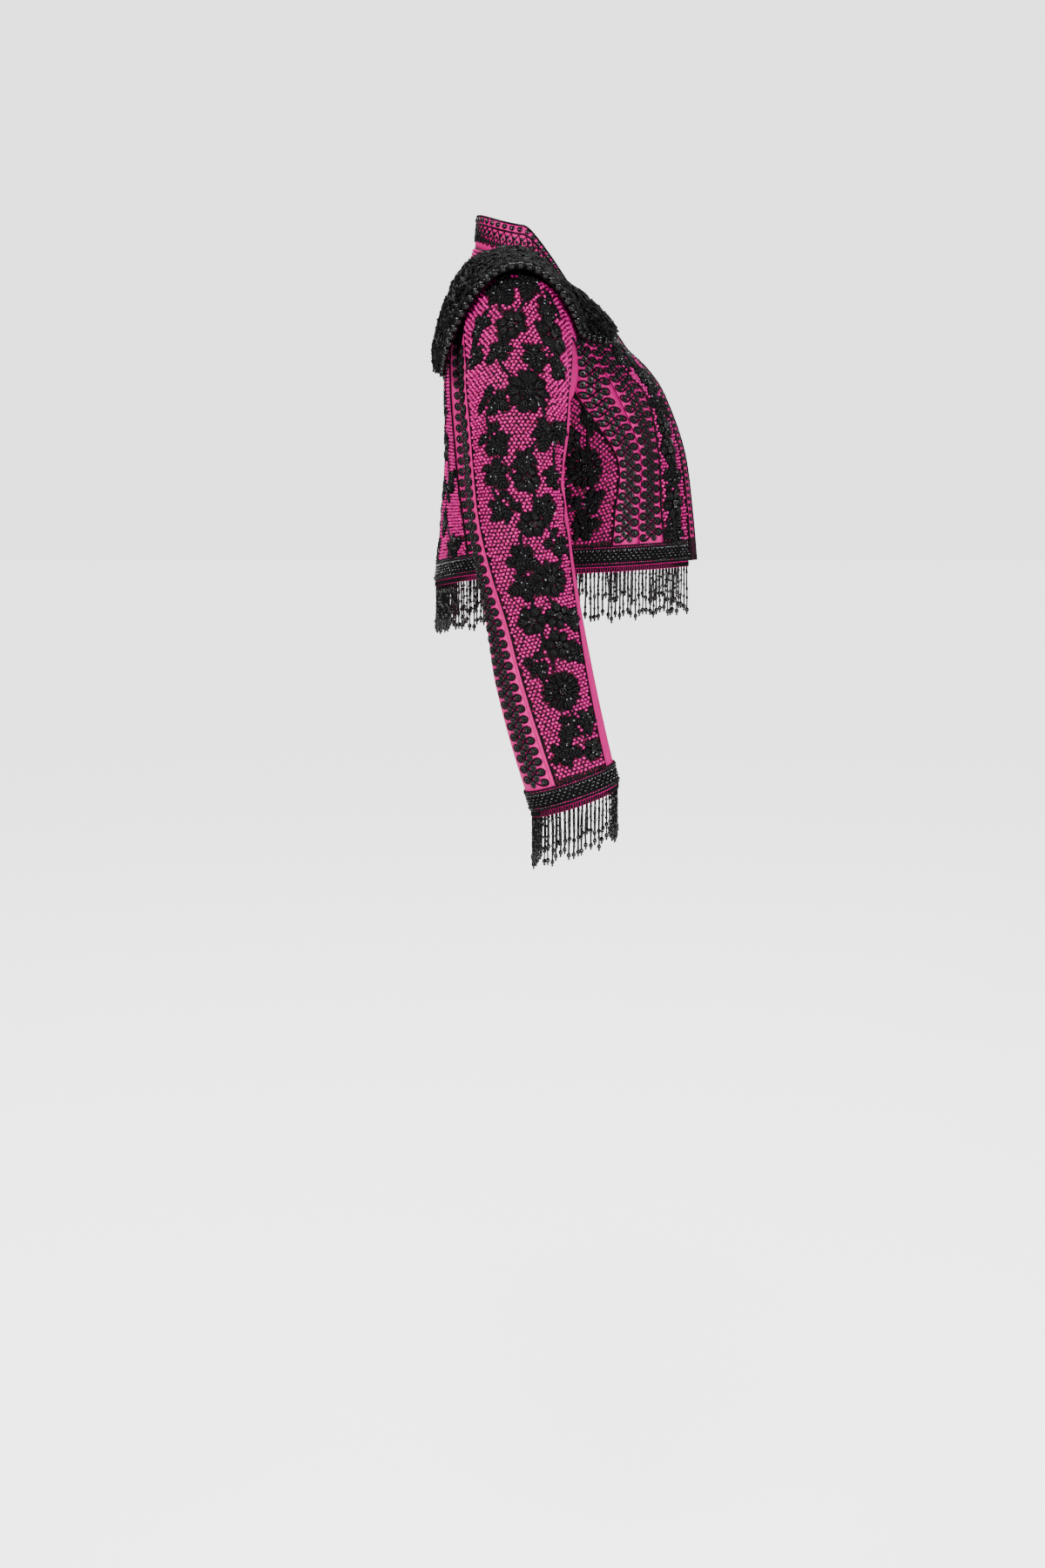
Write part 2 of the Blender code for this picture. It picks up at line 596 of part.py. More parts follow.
def body_panels(add):
    full = panel_steps()
    short = even_steps((ARMHOLE_CORNER, 9))
    back, side_back, side_front = seam("back"), armhole_side("side_back", -1), \
        armhole_side("side_front", 1)
    middle, front, band, edge = seam("middle"), seam("front"), seam("band"), seam("edge")

    def to_neck(_):
        return float(NECK)

    def to_armhole(across):
        level = ARMHOLE_CORNER
        if 0.0 < across < 1.0:
            for _ in range(6):
                low, high = seam("side_back")(level), seam("side_front")(level)
                level = armhole_floor(low + (high - low) * across)
        return min(level, ARMHOLE_CORNER)

    mirrored = [(kind, level, -bearing, size, 180 - turn)
                for kind, level, bearing, size, turn in BACK_MOTIFS if bearing]
    add("back_panel", "pink_lattice",
        cloth_wall(torso_point, 1, lambda level: -back(level), back, to_neck, full, 12,
                   motifs=list(BACK_MOTIFS) + mirrored))
    for side, word in ((-1, "right"), (1, "left")):
        add("side_back_" + word, "pink_satin",
            cloth_wall(torso_point, 1, back, side_back, to_neck, full, 3, side=side))
        add("side_panel_" + word, "pink_lattice",
            cloth_wall(torso_point, 1, seam("side_back"), seam("side_front"), to_armhole,
                       short, 9, motifs=SIDE_MOTIFS, side=side))
        add("side_front_" + word, "pink_satin",
            cloth_wall(torso_point, 1, side_front, middle, to_neck, full, 2, side=side,
                       inner_step=1))
        add("middle_front_" + word, "pink_satin",
            cloth_wall(torso_point, 1, middle, front, to_neck, full, 3, side=side))
        add("front_panel_" + word, "pink_lattice",
            cloth_wall(torso_point, 1, front, band, to_neck, full, 4,
                       motifs=FRONT_MOTIFS, side=side))
        add("front_band_" + word, "pink_satin",
            cloth_wall(torso_point, 1, band, edge, to_neck, full, 1,
                       thickness=WALL + 0.001, side=side))


def sleeves(add):
    steps = even_steps((1.0, 2), (CUFF, 18))
    back_seam, front_seam = sleeve_seam("back_seam"), sleeve_seam("front_seam")

    def to_cuff(_):
        return float(CUFF)

    for side, word in ((-1, "right"), (1, "left")):
        add("upper_sleeve_" + word, "pink_lattice",
            cloth_wall(sleeve_point, -1, back_seam, front_seam, to_cuff, steps, 9,
                       motifs=SLEEVE_MOTIFS, side=side))
        add("under_sleeve_" + word, "pink_satin",
            cloth_wall(sleeve_point, -1, front_seam, sleeve_seam("back_seam", 360.0),
                       to_cuff, steps, 8, side=side, inner_step=1))


def collar(add):
    rows = [row[1:] for row in COLLAR_ROWS]
    stops = [row[0] for row in COLLAR_ROWS]

    def collar_point(level, bearing):
        size = abs(bearing)
        index = max(i for i, stop in enumerate(stops[:-1]) if stop <= size or i == 0)
        part = (size - stops[index]) / (stops[index + 1] - stops[index])
        row = row_at(COLLAR_COLUMNS[1:], rows, index + min(part, 1.0))
        base = torso_point(NECK, bearing)
        inward = Vector((-base.x, -base.y, 0.0)).normalized()
        # where the shoulder lies flat, the collar stands clear of its thickness
        slope = max(surface_normal(torso_point, NECK, abs(bearing), 1).z, 0.0)
        seat = COLLAR_SEAT + (WALL / 2 + COLLAR_SEAT) * slope
        rise = Vector((0.0, 0.0, seat + row["height"] * level))
        return base + rise + inward * (row["lean"] * level)

    reach = COLLAR_ROWS[-1][0]
    add("collar", "pink_satin",
        cloth_wall(collar_point, 1, lambda level: -reach, lambda level: reach,
                   lambda across: 1.0, [0.0, 0.5, 1.0], COLLAR_CELLS))


def shoulder_capes(add, collection):
    def cape_point(level, across):
        rib = row_at(CAPE_COLUMNS, CAPE_RIBS, level)
        inner = Vector((rib["inner_x"], rib["inner_y"], rib["inner_z"]))
        outer = Vector((rib["outer_x"], rib["outer_y"], rib["outer_z"]))
        middle = inner.lerp(outer, across)
        out = Vector((middle.x, middle.y * CAPE_TURN, CAPE_LEAN)).normalized()
        return middle + out * (4 * rib["crown"] * across * (1 - across))

    rows = 2 * CAPE_BEADS
    steps = [index / rows for index in range(rows + 1)]
    corners = []
    faces = []
    for thing in collection.objects:
        if thing.name.startswith(CAPE_SUPPORTS) and not thing.name.endswith("right"):
            faces += [[index + len(corners) for index in face.vertices]
                      for face in thing.data.polygons]
            corners += [vert.co.copy() for vert in thing.data.vertices]
    support = BVHTree.FromPolygons(corners, faces)

    def rise(point, normal, across):
        # how far the cape is lifted to lie over the shoulder and the sleeve head,
        # down on the cloth along its inner edge
        start = point + normal * CAPE_REACH
        distance = support.ray_cast(start, -normal, CAPE_LOOK)[3]
        if distance is None:
            return 0.0
        clearance = 2 * SEAM_GAP + CAPE_CLEARANCE * min(CAPE_CELLS * across, 1.0)
        height = CAPE_REACH - distance + CAPE_WALL / 2 + clearance
        return height if across < CAPE_EDGE else max(0.0, height)

    def crust(across, along):
        cell = round(along * rows)
        if across > 1 - CAPE_EDGE:
            return CAPE_BEAD if cell % 2 else 0.0
        if across > CAPE_EDGE and 0 < cell < rows:
            run, sweep_across = CAPE_LUMP_TURNS
            wave = math.sin(run * cell) * math.cos(sweep_across * across)
            return CAPE_LUMP * (0.5 + 0.9 * wave)
        return 0.0

    for side, word in ((-1, "right"), (1, "left")):
        add("shoulder_cape_" + word, "black_beads",
            cloth_wall(cape_point, 1, lambda level: 0.0, lambda level: 1.0,
                       lambda across: float(len(CAPE_RIBS) - 1), steps,
                       CAPE_CELLS, relief=crust,
                       thickness=CAPE_WALL, side=side, staggered=True, rise=rise))


def hem_trim(add):
    count = round(2 * HEM_BAND_END / HEM_BAND_STEP)

    def frame(bearing):
        sign = -1 if bearing < 0 else 1
        point = torso_point(0.0, abs(bearing))
        out = surface_normal(torso_point, 0.0, abs(bearing), 1)
        up = (torso_point(0.3, abs(bearing)) - point).normalized()
        point = point + out * (WALL / 2 + BAND_CLEARANCE)
        return [Vector((item.x * sign, item.y, item.z)) for item in (point, out, up)]

    bearings = [-HEM_BAND_END + 2 * HEM_BAND_END * index / count for index in range(count + 1)]
    add("hem_band", "black_beads", sweep([frame(bearing) for bearing in bearings],
                                         band_profile(BAND_HEIGHT), False))

    def tape_path(share):
        bearing = HEM_BAND_END * (2 * share - 1)
        sign = -1 if bearing < 0 else 1
        point = torso_point(0.0, abs(bearing))
        point.z -= SEAM_GAP
        near = torso_point(0.0, abs(bearing) + 0.5)
        run = near - torso_point(0.0, abs(bearing) - 0.5)
        out = Vector((-run.y, run.x, 0.0)).normalized() * -1
        return (Vector((point.x * sign, point.y, point.z)),
                Vector((-out.x * sign, -out.y, 0.0)))

    add("hem_fringe", "black_beads", fringe(tape_path, HEM_STRANDS, HEM_FRINGE, False))


def cuff_trim(add):
    count = CUFF_BAND_STEPS
    for side, word in ((-1, "right"), (1, "left")):
        frames = []
        for index in range(count):
            angle = 360.0 * index / count
            point = surface_offset(sleeve_point, CUFF, angle, -1, WALL / 2 + 1.2 * BAND_CLEARANCE)
            out = surface_normal(sleeve_point, CUFF, angle, -1)
            up = (sleeve_point(CUFF - 0.4, angle) - sleeve_point(CUFF, angle)).normalized()
            frames.append([Vector((item.x * side, item.y, item.z))
                           for item in (point, out, up)])
        add("cuff_band_" + word, "black_beads", sweep(frames, band_profile(BAND_HEIGHT), True))

        def tape_path(share, side=side):
            angle = 360.0 * share
            point = sleeve_point(CUFF, angle)
            point.z -= 2 * SEAM_GAP
            run = sleeve_point(CUFF, angle + 1) - sleeve_point(CUFF, angle - 1)
            out = Vector((-run.y, run.x, 0.0)).normalized()
            if out.dot(point - sleeve_point(CUFF, angle + 180)) < 0:
                out.negate()
            return Vector((point.x * side, point.y, point.z)), Vector((out.x * side, out.y, 0.0))

        add("cuff_fringe_" + word, "black_beads",
            fringe(tape_path, CUFF_STRANDS, CUFF_FRINGE, True))


def main():
    clear_scene()
    collection = bpy.data.collections.new("matador_jacket")
    bpy.context.scene.collection.children.link(collection)
    finishes = {name: make_finish(name) for name in FINISHES}

    def add(name, finish, mesh_data):
        return add_object(name, mesh_data, finishes[finish], collection)

    body_panels(add)
    sleeves(add)
    collar(add)
    shoulder_capes(add, collection)
    hem_trim(add)
    cuff_trim(add)


main()
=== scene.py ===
# A matador jacket in fuchsia, worn open: satin panels with scroll braid, padded
# lattice with beaded flowers, bullion shoulder capes, beaded bands and fringe.
import math

import bpy
import numpy as np
from mathutils import Matrix, Vector
from mathutils.bvhtree import BVHTree


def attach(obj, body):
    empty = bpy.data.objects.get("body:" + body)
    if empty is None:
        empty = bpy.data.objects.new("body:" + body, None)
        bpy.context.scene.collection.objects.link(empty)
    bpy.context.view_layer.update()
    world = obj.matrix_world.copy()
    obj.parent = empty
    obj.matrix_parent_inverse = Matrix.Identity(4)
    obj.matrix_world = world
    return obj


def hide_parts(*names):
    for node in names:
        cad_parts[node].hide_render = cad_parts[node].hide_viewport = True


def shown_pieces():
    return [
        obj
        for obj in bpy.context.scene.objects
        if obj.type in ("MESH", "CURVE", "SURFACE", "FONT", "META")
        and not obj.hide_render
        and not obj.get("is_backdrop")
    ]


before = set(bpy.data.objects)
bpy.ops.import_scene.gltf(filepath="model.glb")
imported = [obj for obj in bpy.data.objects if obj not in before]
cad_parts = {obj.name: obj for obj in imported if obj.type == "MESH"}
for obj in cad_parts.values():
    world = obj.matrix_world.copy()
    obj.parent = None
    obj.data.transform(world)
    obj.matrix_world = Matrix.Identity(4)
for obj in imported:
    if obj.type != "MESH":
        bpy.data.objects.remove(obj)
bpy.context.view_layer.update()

dice = np.random.default_rng(11)
upward = np.array([0.0, 0.0, 1.0])
bpy.ops.object.select_all(action="DESELECT")

# the cloth, in metres
cloth = {
    "wall": 0.0022,          # the CAD wall, centred on each surface
    "thickness": 0.0017,     # satin, interlining and lining
    "gap": 0.0003,           # left open at a seam
    "cell": 0.0062,          # size of the shell's faces
    "level": 0.06,           # from one ring to the next, for the folds
    "degree": 0.0026,        # in one degree round, for the folds
}

# rings of the body from the hem up: half width, back y, side y, front y,
# back z, side z, front z, back power, front power
torsoRings = (
    (0.166, 0.1090, -0.015, -0.2260, -0.395, -0.371, -0.3660, 2.4, 1.70),   # hem
    (0.161, 0.1010, -0.013, -0.2140, -0.325, -0.315, -0.3080, 2.4, 1.75),   # waist
    (0.157, 0.0955, -0.010, -0.1966, -0.245, -0.250, -0.2360, 2.4, 1.80),   # bust
    (0.157, 0.0955, -0.002, -0.1729, -0.165, -0.168, -0.1755, 2.4, 1.75),   # underarm
    (0.163, 0.0925, 0.005, -0.1548, -0.108, -0.110, -0.1480, 2.3, 1.60),    # chest
    (0.178, 0.0800, 0.012, -0.1345, -0.054, -0.056, -0.1270, 2.2, 1.30),    # shoulder tip
    (0.122, 0.0680, 0.008, -0.1223, -0.023, -0.042, -0.1110, 2.1, 1.50),    # mid shoulder
    (0.066, 0.0605, 0.004, -0.1145, 0.001, -0.019, -0.0995, 2.0, 1.85),     # neck seam
)
neck = 7.0

# seams as bearings at each ring: 0 centre back, 90 side, 180 centre front
seams = {
    "back": (60, 54, 45, 40, 40, 44, 54, 64),
    "sideBack": (66, 66, 67, 70, 70, 70, 70, 70),
    "sideFront": (118, 121.5, 124.5, 109, 109, 109, 109, 109),
    "middle": (131, 132.5, 136, 129, 119, 110, 104, 110),
    "front": (143, 143.5, 146, 146.5, 133.5, 131, 134, 140),
    "band": (156.8, 158.9, 161, 160.2, 159.2, 157.8, 155.8, 153.5),
    "edge": (161, 163, 165.5, 165, 164.5, 164, 162.5, 162),
}
armhole = {"corner": 3.0, "middle": 3.8, "half": 1.2, "bearing": 89.5,
           "spread": 21.9, "power": 3.0, "twist": 12.0}

# rings of the left sleeve down to the cuff: outer x and z, inner x and z, front y,
# back y, lift of the front, back seam and front seam as angles from the outer line
sleeveRings = (
    (0.207, -0.050, 0.1640, -0.2060, -0.0500, 0.0720, 0.000, -72.0, 80.0),      # cap
    (0.229, -0.100, 0.1670, -0.2135, -0.0490, 0.0710, 0.000, -72.0, 78.0),
    (0.243, -0.146, 0.1685, -0.2220, -0.0475, 0.0700, 0.000, -72.0, 76.0),
    (0.254, -0.206, 0.1690, -0.2340, -0.0455, 0.0665, 0.001, -70.0, 74.0),      # underarm
    (0.262, -0.262, 0.1690, -0.2720, -0.0400, 0.0635, 0.002, -66.0, 73.0),
    (0.269, -0.318, 0.1710, -0.3210, -0.0455, 0.0610, 0.004, -58.0, 72.0),
    (0.275, -0.372, 0.1790, -0.3740, -0.0520, 0.0530, 0.007, -48.0, 70.0),      # elbow
    (0.280, -0.424, 0.1860, -0.4250, -0.0600, 0.0435, 0.010, -38.0, 67.0),
    (0.284, -0.476, 0.1930, -0.4760, -0.0695, 0.0360, 0.012, -31.0, 64.0),
    (0.288, -0.528, 0.1990, -0.5280, -0.0800, 0.0230, 0.0135, -27.0, 62.0),
    (0.291, -0.575, 0.2040, -0.5750, -0.0905, 0.0090, 0.0145, -24.0, 60.0),
    (0.293, -0.6205, 0.2080, -0.6205, -0.1010, -0.0065, 0.0160, -22.0, 60.0),   # cuff
)
cuff = float(len(sleeveRings))

# the collar's height and lean at bearings from the centre back to its front end
collarRows = ((0.0, 0.0350, 0.003), (45.0, 0.0382, 0.004), (90.0, 0.0388, 0.006),
              (110.0, 0.0330, 0.006), (122.0, 0.0285, 0.006), (134.0, 0.0200, 0.005),
              (148.0, 0.0103, 0.004), (158.0, 0.0077, 0.002))
collarEnd = collarRows[-1][0]

# ribs of the left cape from its back end to its front end: inner and outer edge, crown
capeRibs = (
    (0.086, 0.103, -0.137, 0.146, 0.093, -0.147, 0.003),
    (0.060, 0.102, -0.110, 0.181, 0.087, -0.128, 0.005),
    (0.058, 0.092, -0.072, 0.200, 0.074, -0.097, 0.006),
    (0.061, 0.073, -0.030, 0.211, 0.054, -0.066, 0.005),
    (0.066, 0.040, -0.010, 0.218, 0.030, -0.045, 0.003),
    (0.071, 0.004, -0.010, 0.219, 0.002, -0.040, 0.002),
    (0.072, -0.028, -0.036, 0.212, -0.027, -0.057, 0.003),
    (0.071, -0.058, -0.065, 0.196, -0.042, -0.082, 0.003),
    (0.079, -0.078, -0.086, 0.166, -0.056, -0.106, 0.003),
    (0.087, -0.091, -0.101, 0.126, -0.087, -0.118, 0.001),
)

# soft folds: level, angle, half length, half width, depth (m) and turn from level line
torsoFolds = (
    (0.55, 92, 0.050, 0.014, 0.0016, 12), (1.25, 100, 0.045, 0.013, 0.0014, -14),
    (2.35, 84, 0.040, 0.012, 0.0014, 20), (2.60, 112, 0.040, 0.012, 0.0013, -32),
    (0.70, 24, 0.060, 0.016, 0.0013, 74), (1.70, 12, 0.060, 0.015, 0.0012, 82),
    (4.60, 30, 0.050, 0.014, 0.0013, 30), (1.00, 138, 0.050, 0.012, 0.0012, 70),
    (3.40, 140, 0.040, 0.012, 0.0012, 48),
)
sleeveFolds = (
    (1.60, 62, 0.060, 0.013, 0.0018, 62), (1.80, -58, 0.060, 0.013, 0.0016, -60),
    (2.60, 24, 0.070, 0.017, 0.0011, 80), (3.70, -30, 0.060, 0.014, 0.0014, -24),
    (5.20, 60, 0.045, 0.012, 0.0018, 14), (5.90, 70, 0.045, 0.011, 0.0020, -12),
    (6.50, 20, 0.060, 0.015, 0.0013, 22), (6.90, -60, 0.060, 0.013, 0.0013, 34),
    (7.90, 8, 0.050, 0.014, 0.0011, -26), (9.30, 30, 0.050, 0.014, 0.0011, 18),
    (5.60, 150, 0.050, 0.012, 0.0022, 8), (6.40, 170, 0.050, 0.012, 0.0022, -8),
    (3.30, 200, 0.050, 0.013, 0.0018, 40), (8.60, 200, 0.060, 0.015, 0.0014, 60),
    (10.4, -10, 0.040, 0.012, 0.0010, 10),
)


def smooth(part, a, b, c, d):
    # between b and c on a smooth curve through all four
    return 0.5 * (2 * b + (c - a) * part + (2 * a - 5 * b + 4 * c - d) * part ** 2
                  + (3 * b - a - 3 * c + d) * part ** 3)


def curveAt(values, level):
    # one smooth curve through the values, read at each level
    table = np.asarray(values, float)
    level = np.asarray(level, float)
    low = np.clip(level.astype(int), 0, len(table) - 2)
    part = np.clip(level - low, 0.0, 1.0)
    part = part[..., None] if table.ndim == 2 else part
    return smooth(part, *(table[np.clip(low + step, 0, len(table) - 1)]
                          for step in (-1, 0, 1, 2)))


def torsoPoint(level, bearing):
    level, bearing = np.broadcast_arrays(np.asarray(level, float), bearing)
    ring = np.moveaxis(curveAt(torsoRings, level), -1, 0)
    halfWidth, backY, sideY, frontY, backZ, sideZ, frontZ, backPower, frontPower = ring
    turn = np.radians(bearing)
    along, out = np.cos(turn), np.sin(turn)
    depth = np.where(along > 0, backY - sideY, sideY - frontY)
    endZ = np.where(along > 0, backZ, frontZ)
    power = backPower + (frontPower - backPower) * (1 - along) / 2
    reach = (np.abs(out / halfWidth) ** power + np.abs(along / depth) ** power) ** (-1 / power)
    height = sideZ + (endZ - sideZ) * np.abs(along) ** 1.5
    return np.stack([reach * out, sideY + reach * along, height], -1)


def seamLine(name):
    return lambda level: curveAt(seams[name], level)


def armholeReach(level):
    share = np.clip(np.abs(level - armhole["middle"]) / armhole["half"], 0, 1)
    return armhole["spread"] * (1 - share ** armhole["power"]) ** (1 / armhole["power"])


def armholeEdge(name, direction):
    below = seamLine(name)
    return lambda level: np.where(np.asarray(level) < armhole["corner"], below(level),
                                  armhole["bearing"] + direction * armholeReach(level))


def sidePanelTop(across):
    level = np.full(np.shape(across), armhole["corner"])
    for _ in range(6):
        low, high = seamLine("sideBack")(level), seamLine("sideFront")(level)
        share = np.abs(low + (high - low) * across - armhole["bearing"]) / armhole["spread"]
        drop = (1 - np.clip(share, 0, 1) ** armhole["power"]) ** (1 / armhole["power"])
        level = np.minimum(armhole["middle"] - armhole["half"] * drop, armhole["corner"])
    return level


def lengthsAlong(points):
    # metres along a row of points, from the first
    steps = np.linalg.norm(np.diff(points, axis=0), axis=1)
    return np.concatenate([[0.0], np.cumsum(steps)])


def unit(vectors):
    return vectors / np.maximum(np.linalg.norm(vectors, axis=-1, keepdims=True), 1e-12)


def turned(x, y, turn):
    turn = math.radians(turn)
    return x * math.cos(turn) - y * math.sin(turn), x * math.sin(turn) + y * math.cos(turn)


def normalAt(surface, level, angle, outward):
    along = surface(level + 0.02, angle) - surface(level - 0.02, angle)
    across = surface(level, angle + 0.5) - surface(level, angle - 0.5)
    return unit(np.cross(along, across)) * outward


def armholePoint(angle):
    turn = np.radians(angle)
    turn = turn + math.radians(armhole["twist"]) * (1 - np.cos(turn)) / 2
    up, front = np.cos(turn), np.sin(turn)
    reach = (np.abs(up) ** armhole["power"]
             + np.abs(front) ** armhole["power"]) ** (-1 / armhole["power"])
    level = armhole["middle"] + armhole["half"] * reach * up
    bearing = armhole["bearing"] + armhole["spread"] * reach * front
    lift = cloth["wall"] + 4 * cloth["gap"]
    return torsoPoint(level, bearing) + normalAt(torsoPoint, level, bearing, 1) * lift


def sleeveRingPoint(index, angle):
    ring = np.moveaxis(np.asarray(sleeveRings)[np.clip(index - 1, 0, len(sleeveRings) - 1)], -1, 0)
    outerX, outerZ, innerX, innerZ, frontY, backY, frontLift = ring[:7]
    turn = np.radians(angle)
    across, front = np.cos(turn), np.sin(turn)
    spots = np.stack([(outerX + innerX) / 2 + (outerX - innerX) / 2 * across,
                      (frontY + backY) / 2 + (frontY - backY) / 2 * front,
                      (outerZ + innerZ) / 2 + (outerZ - innerZ) / 2 * across
                      + frontLift * front], -1)
    return np.where((index == 0)[..., None], armholePoint(angle), spots)


def sleevePoint(level, angle):
    level, angle = np.broadcast_arrays(np.asarray(level, float), angle)
    low = np.clip(level.astype(int), 0, int(cuff) - 1)
    part = np.clip(level - low, 0, 1)[..., None]
    return smooth(part, *(sleeveRingPoint(np.clip(low + step, 0, int(cuff)), angle)
                          for step in (-1, 0, 1, 2)))


def sleeveSeam(column, turn=0.0):
    values = [ring[column] for ring in sleeveRings]
    return lambda level: curveAt(values, np.maximum(np.asarray(level) - 1, 0)) + turn


def collarPoint(level, bearing):
    level, bearing = np.broadcast_arrays(np.asarray(level, float), bearing)
    stops = [row[0] for row in collarRows]
    place = np.interp(np.abs(bearing), stops, range(len(stops)))
    height, lean = np.moveaxis(curveAt([row[1:] for row in collarRows], place), -1, 0)
    base = torsoPoint(neck, bearing)
    inward = unit(base * (-1, -1, 0))
    slope = np.maximum(normalAt(torsoPoint, neck, np.abs(bearing), 1)[..., 2], 0.0)
    seat = 2 * cloth["gap"] + (cloth["wall"] / 2 + 2 * cloth["gap"]) * slope
    rise = cloth["gap"] + (height + seat - cloth["gap"]) * level
    return base + rise[..., None] * (0, 0, 1) + inward * (lean * level)[..., None]


def capePoint(level, across):
    level, across = np.broadcast_arrays(np.asarray(level, float), across)
    rib = curveAt(capeRibs, level)
    share = across[..., None]
    middle = rib[..., :3] * (1 - share) + rib[..., 3:6] * share
    out = unit(np.stack([middle[..., 0], middle[..., 1] * 1.3, np.full(level.shape, 0.12)], -1))
    return middle + out * 4 * rib[..., 6:7] * share * (1 - share)


def foldLift(folds, level, angle):
    # soft uneven troughs with a low ridge on each side
    lift = np.zeros(np.broadcast(level, angle).shape)
    for at, bearing, length, width, depth, turn in folds:
        gap = (np.abs(angle) if folds is torsoFolds else angle) - bearing
        run, off = turned(gap * cloth["degree"], (level - at) * cloth["level"], -turn)
        off = off + 0.2 * width * np.sin(run / width)
        shape = (1 - 0.55 * (off / width) ** 2) * np.exp(-(off / width) ** 2 / 2)
        lift -= depth * shape * np.exp(-(run / length) ** 4)
    return lift


class Panel:
    # a piece of cloth as a fine grid of points, read by shares or by metres
    def __init__(self, surface, outward, left, right, top, rows, columns, folds=None):
        share = np.linspace(0, 1, rows + 1)[:, None] * np.ones(columns + 1)
        across = np.linspace(0, 1, columns + 1)[None, :] * np.ones((rows + 1, 1))
        even = across[0]
        for _ in range(2):
            level = share * (top(across) if callable(top) else top)
            angle = left(level) + (right(level) - left(level)) * across
            spots = surface(level, angle)
            steps = np.linalg.norm(np.diff(spots, axis=1), axis=2)
            run = np.concatenate([np.zeros((rows + 1, 1)), np.cumsum(steps, axis=1)], 1)
            across = np.stack([np.interp(even, line / line[-1], row)
                               for line, row in zip(run, across)])
        self.setGrid(spots, normalAt(surface, level, angle, outward))
        self.levels, self.angles = level, angle
        if folds:
            self.spots = self.spots + self.normals * foldLift(folds, level, angle)[..., None]

    def setGrid(self, spots, normals):
        self.spots, self.normals = spots, normals
        self.rows, self.columns = spots.shape[0] - 1, spots.shape[1] - 1
        self.widths = np.linalg.norm(np.diff(spots, axis=1), axis=2).sum(1)
        self.runs = lengthsAlong(spots[:, self.columns // 2])
        self.length = self.runs[-1]

    def on(self, across, along, lift=0.0):
        # points and normals at shares of the width and of the length
        across, along, lift = np.broadcast_arrays(across, along, lift)
        x = np.clip(across, 0, 1) * self.columns
        y = np.clip(along, 0, 1) * self.rows
        column = np.minimum(x.astype(int), self.columns - 1)
        row = np.minimum(y.astype(int), self.rows - 1)
        u, v = (x - column)[..., None], (y - row)[..., None]

        def read(grid):
            return ((grid[row, column] * (1 - u) + grid[row, column + 1] * u) * (1 - v)
                    + (grid[row + 1, column] * (1 - u) + grid[row + 1, column + 1] * u) * v)
        normals = unit(read(self.normals))
        return read(self.spots) + normals * lift[..., None], normals

    def widthAt(self, y):
        return np.interp(y, self.runs, self.widths)

    def at(self, x, y, lift=0.0):
        # points at metres across from the centre line and along from the lower end
        along = np.interp(y, self.runs, np.linspace(0, 1, self.rows + 1))
        return self.on(0.5 + x / self.widthAt(y), along, lift)

    def face(self, x, y, height):
        # points at metres across and along, and a height over the cloth's face
        return self.at(x, y, cloth["wall"] / 2 + height)
    def find(self, level, angle):
        # metres across and along of a level and an angle
        middle = self.levels[:, self.columns // 2]
        row = int(np.argmin(np.abs(middle - level)))
        share = np.interp(angle, self.angles[row], np.linspace(0, 1, self.columns + 1))
        return (share - 0.5) * self.widths[row], float(np.interp(level, middle, self.runs))

    def cut(self):
        # the flat cut of what shows: width, length and area
        area = float(np.sum((self.widths[1:] + self.widths[:-1]) / 2 * np.diff(self.runs)))
        width, length = float(self.widths.max()), float(self.length)
        return (width, length), min(area, width * length)


class Strip:
    # a band that runs round an edge, read by metres round, metres up and lift
    def __init__(self, spots, outs, ups, closed):
        if closed:
            spots, outs, ups = (np.concatenate([a, a[:1]]) for a in (spots, outs, ups))
        self.spots, self.outs, self.ups, self.closed = spots, outs, ups, closed
        self.runs = lengthsAlong(spots)
        self.length = self.runs[-1]

    def at(self, run, up=0.0, lift=0.0):
        run, up, lift = np.broadcast_arrays(run, up, lift)
        run = run % self.length if self.closed else np.clip(run, 0, self.length)

        def read(values):
            return np.stack([np.interp(run, self.runs, values[:, axis]) for axis in range(3)], -1)
        outs = unit(read(self.outs))
        return read(self.spots) + read(self.ups) * up[..., None] + outs * lift[..., None], outs


def gridQuads(rows, columns):
    # four-sided faces over a grid of points
    index = np.arange(rows * columns).reshape(rows, columns)
    return np.stack([index[:-1, :-1], index[:-1, 1:], index[1:, 1:], index[1:, :-1]],
                    -1).reshape(-1, 4)


def ringQuads(count, sides, closed):
    # four-sided faces between rings of points, one ring after the other
    first = np.arange(count if closed else count - 1)[:, None] * sides
    side = np.arange(sides)[None, :]
    following = (side + 1) % sides
    second = (first + sides) % (count * sides)
    return np.stack([first + side, first + following, second + following, second + side],
                    -1).reshape(-1, 4)


def linked(piece):
    bpy.context.scene.collection.objects.link(piece)
    return piece


class Work:
    # gathers points and faces that become one piece, and the places of padded petals
    def __init__(self):
        self.spots, self.faces, self.tones, self.count = [], [], [], 0
        self.petals = []

    def add(self, spots, faces, tone=0.5):
        spots = np.asarray(spots, float).reshape(-1, 3)
        self.spots.append(spots)
        self.tones.append(np.broadcast_to(tone, (len(spots),)))
        self.faces += [np.asarray(group, int) + self.count for group in faces]
        self.count += len(spots)

    def make(self, name, finish):
        mesh = bpy.data.meshes.new(name)
        faces = [face for group in self.faces for face in group.tolist()]
        mesh.from_pydata(np.concatenate(self.spots).tolist(), [], faces)
        # a value for each point that the nub finish reads: painted shade at each nub's foot, and
        # random tone at its crown
        tone = mesh.attributes.new("tone", "FLOAT", "POINT")
        tone.data.foreach_set("value", np.concatenate(self.tones).astype(np.float32))
        mesh.polygons.foreach_set("use_smooth", [True] * len(mesh.polygons))
        mesh.materials.append(finish.material)
        return linked(bpy.data.objects.new(name, mesh))


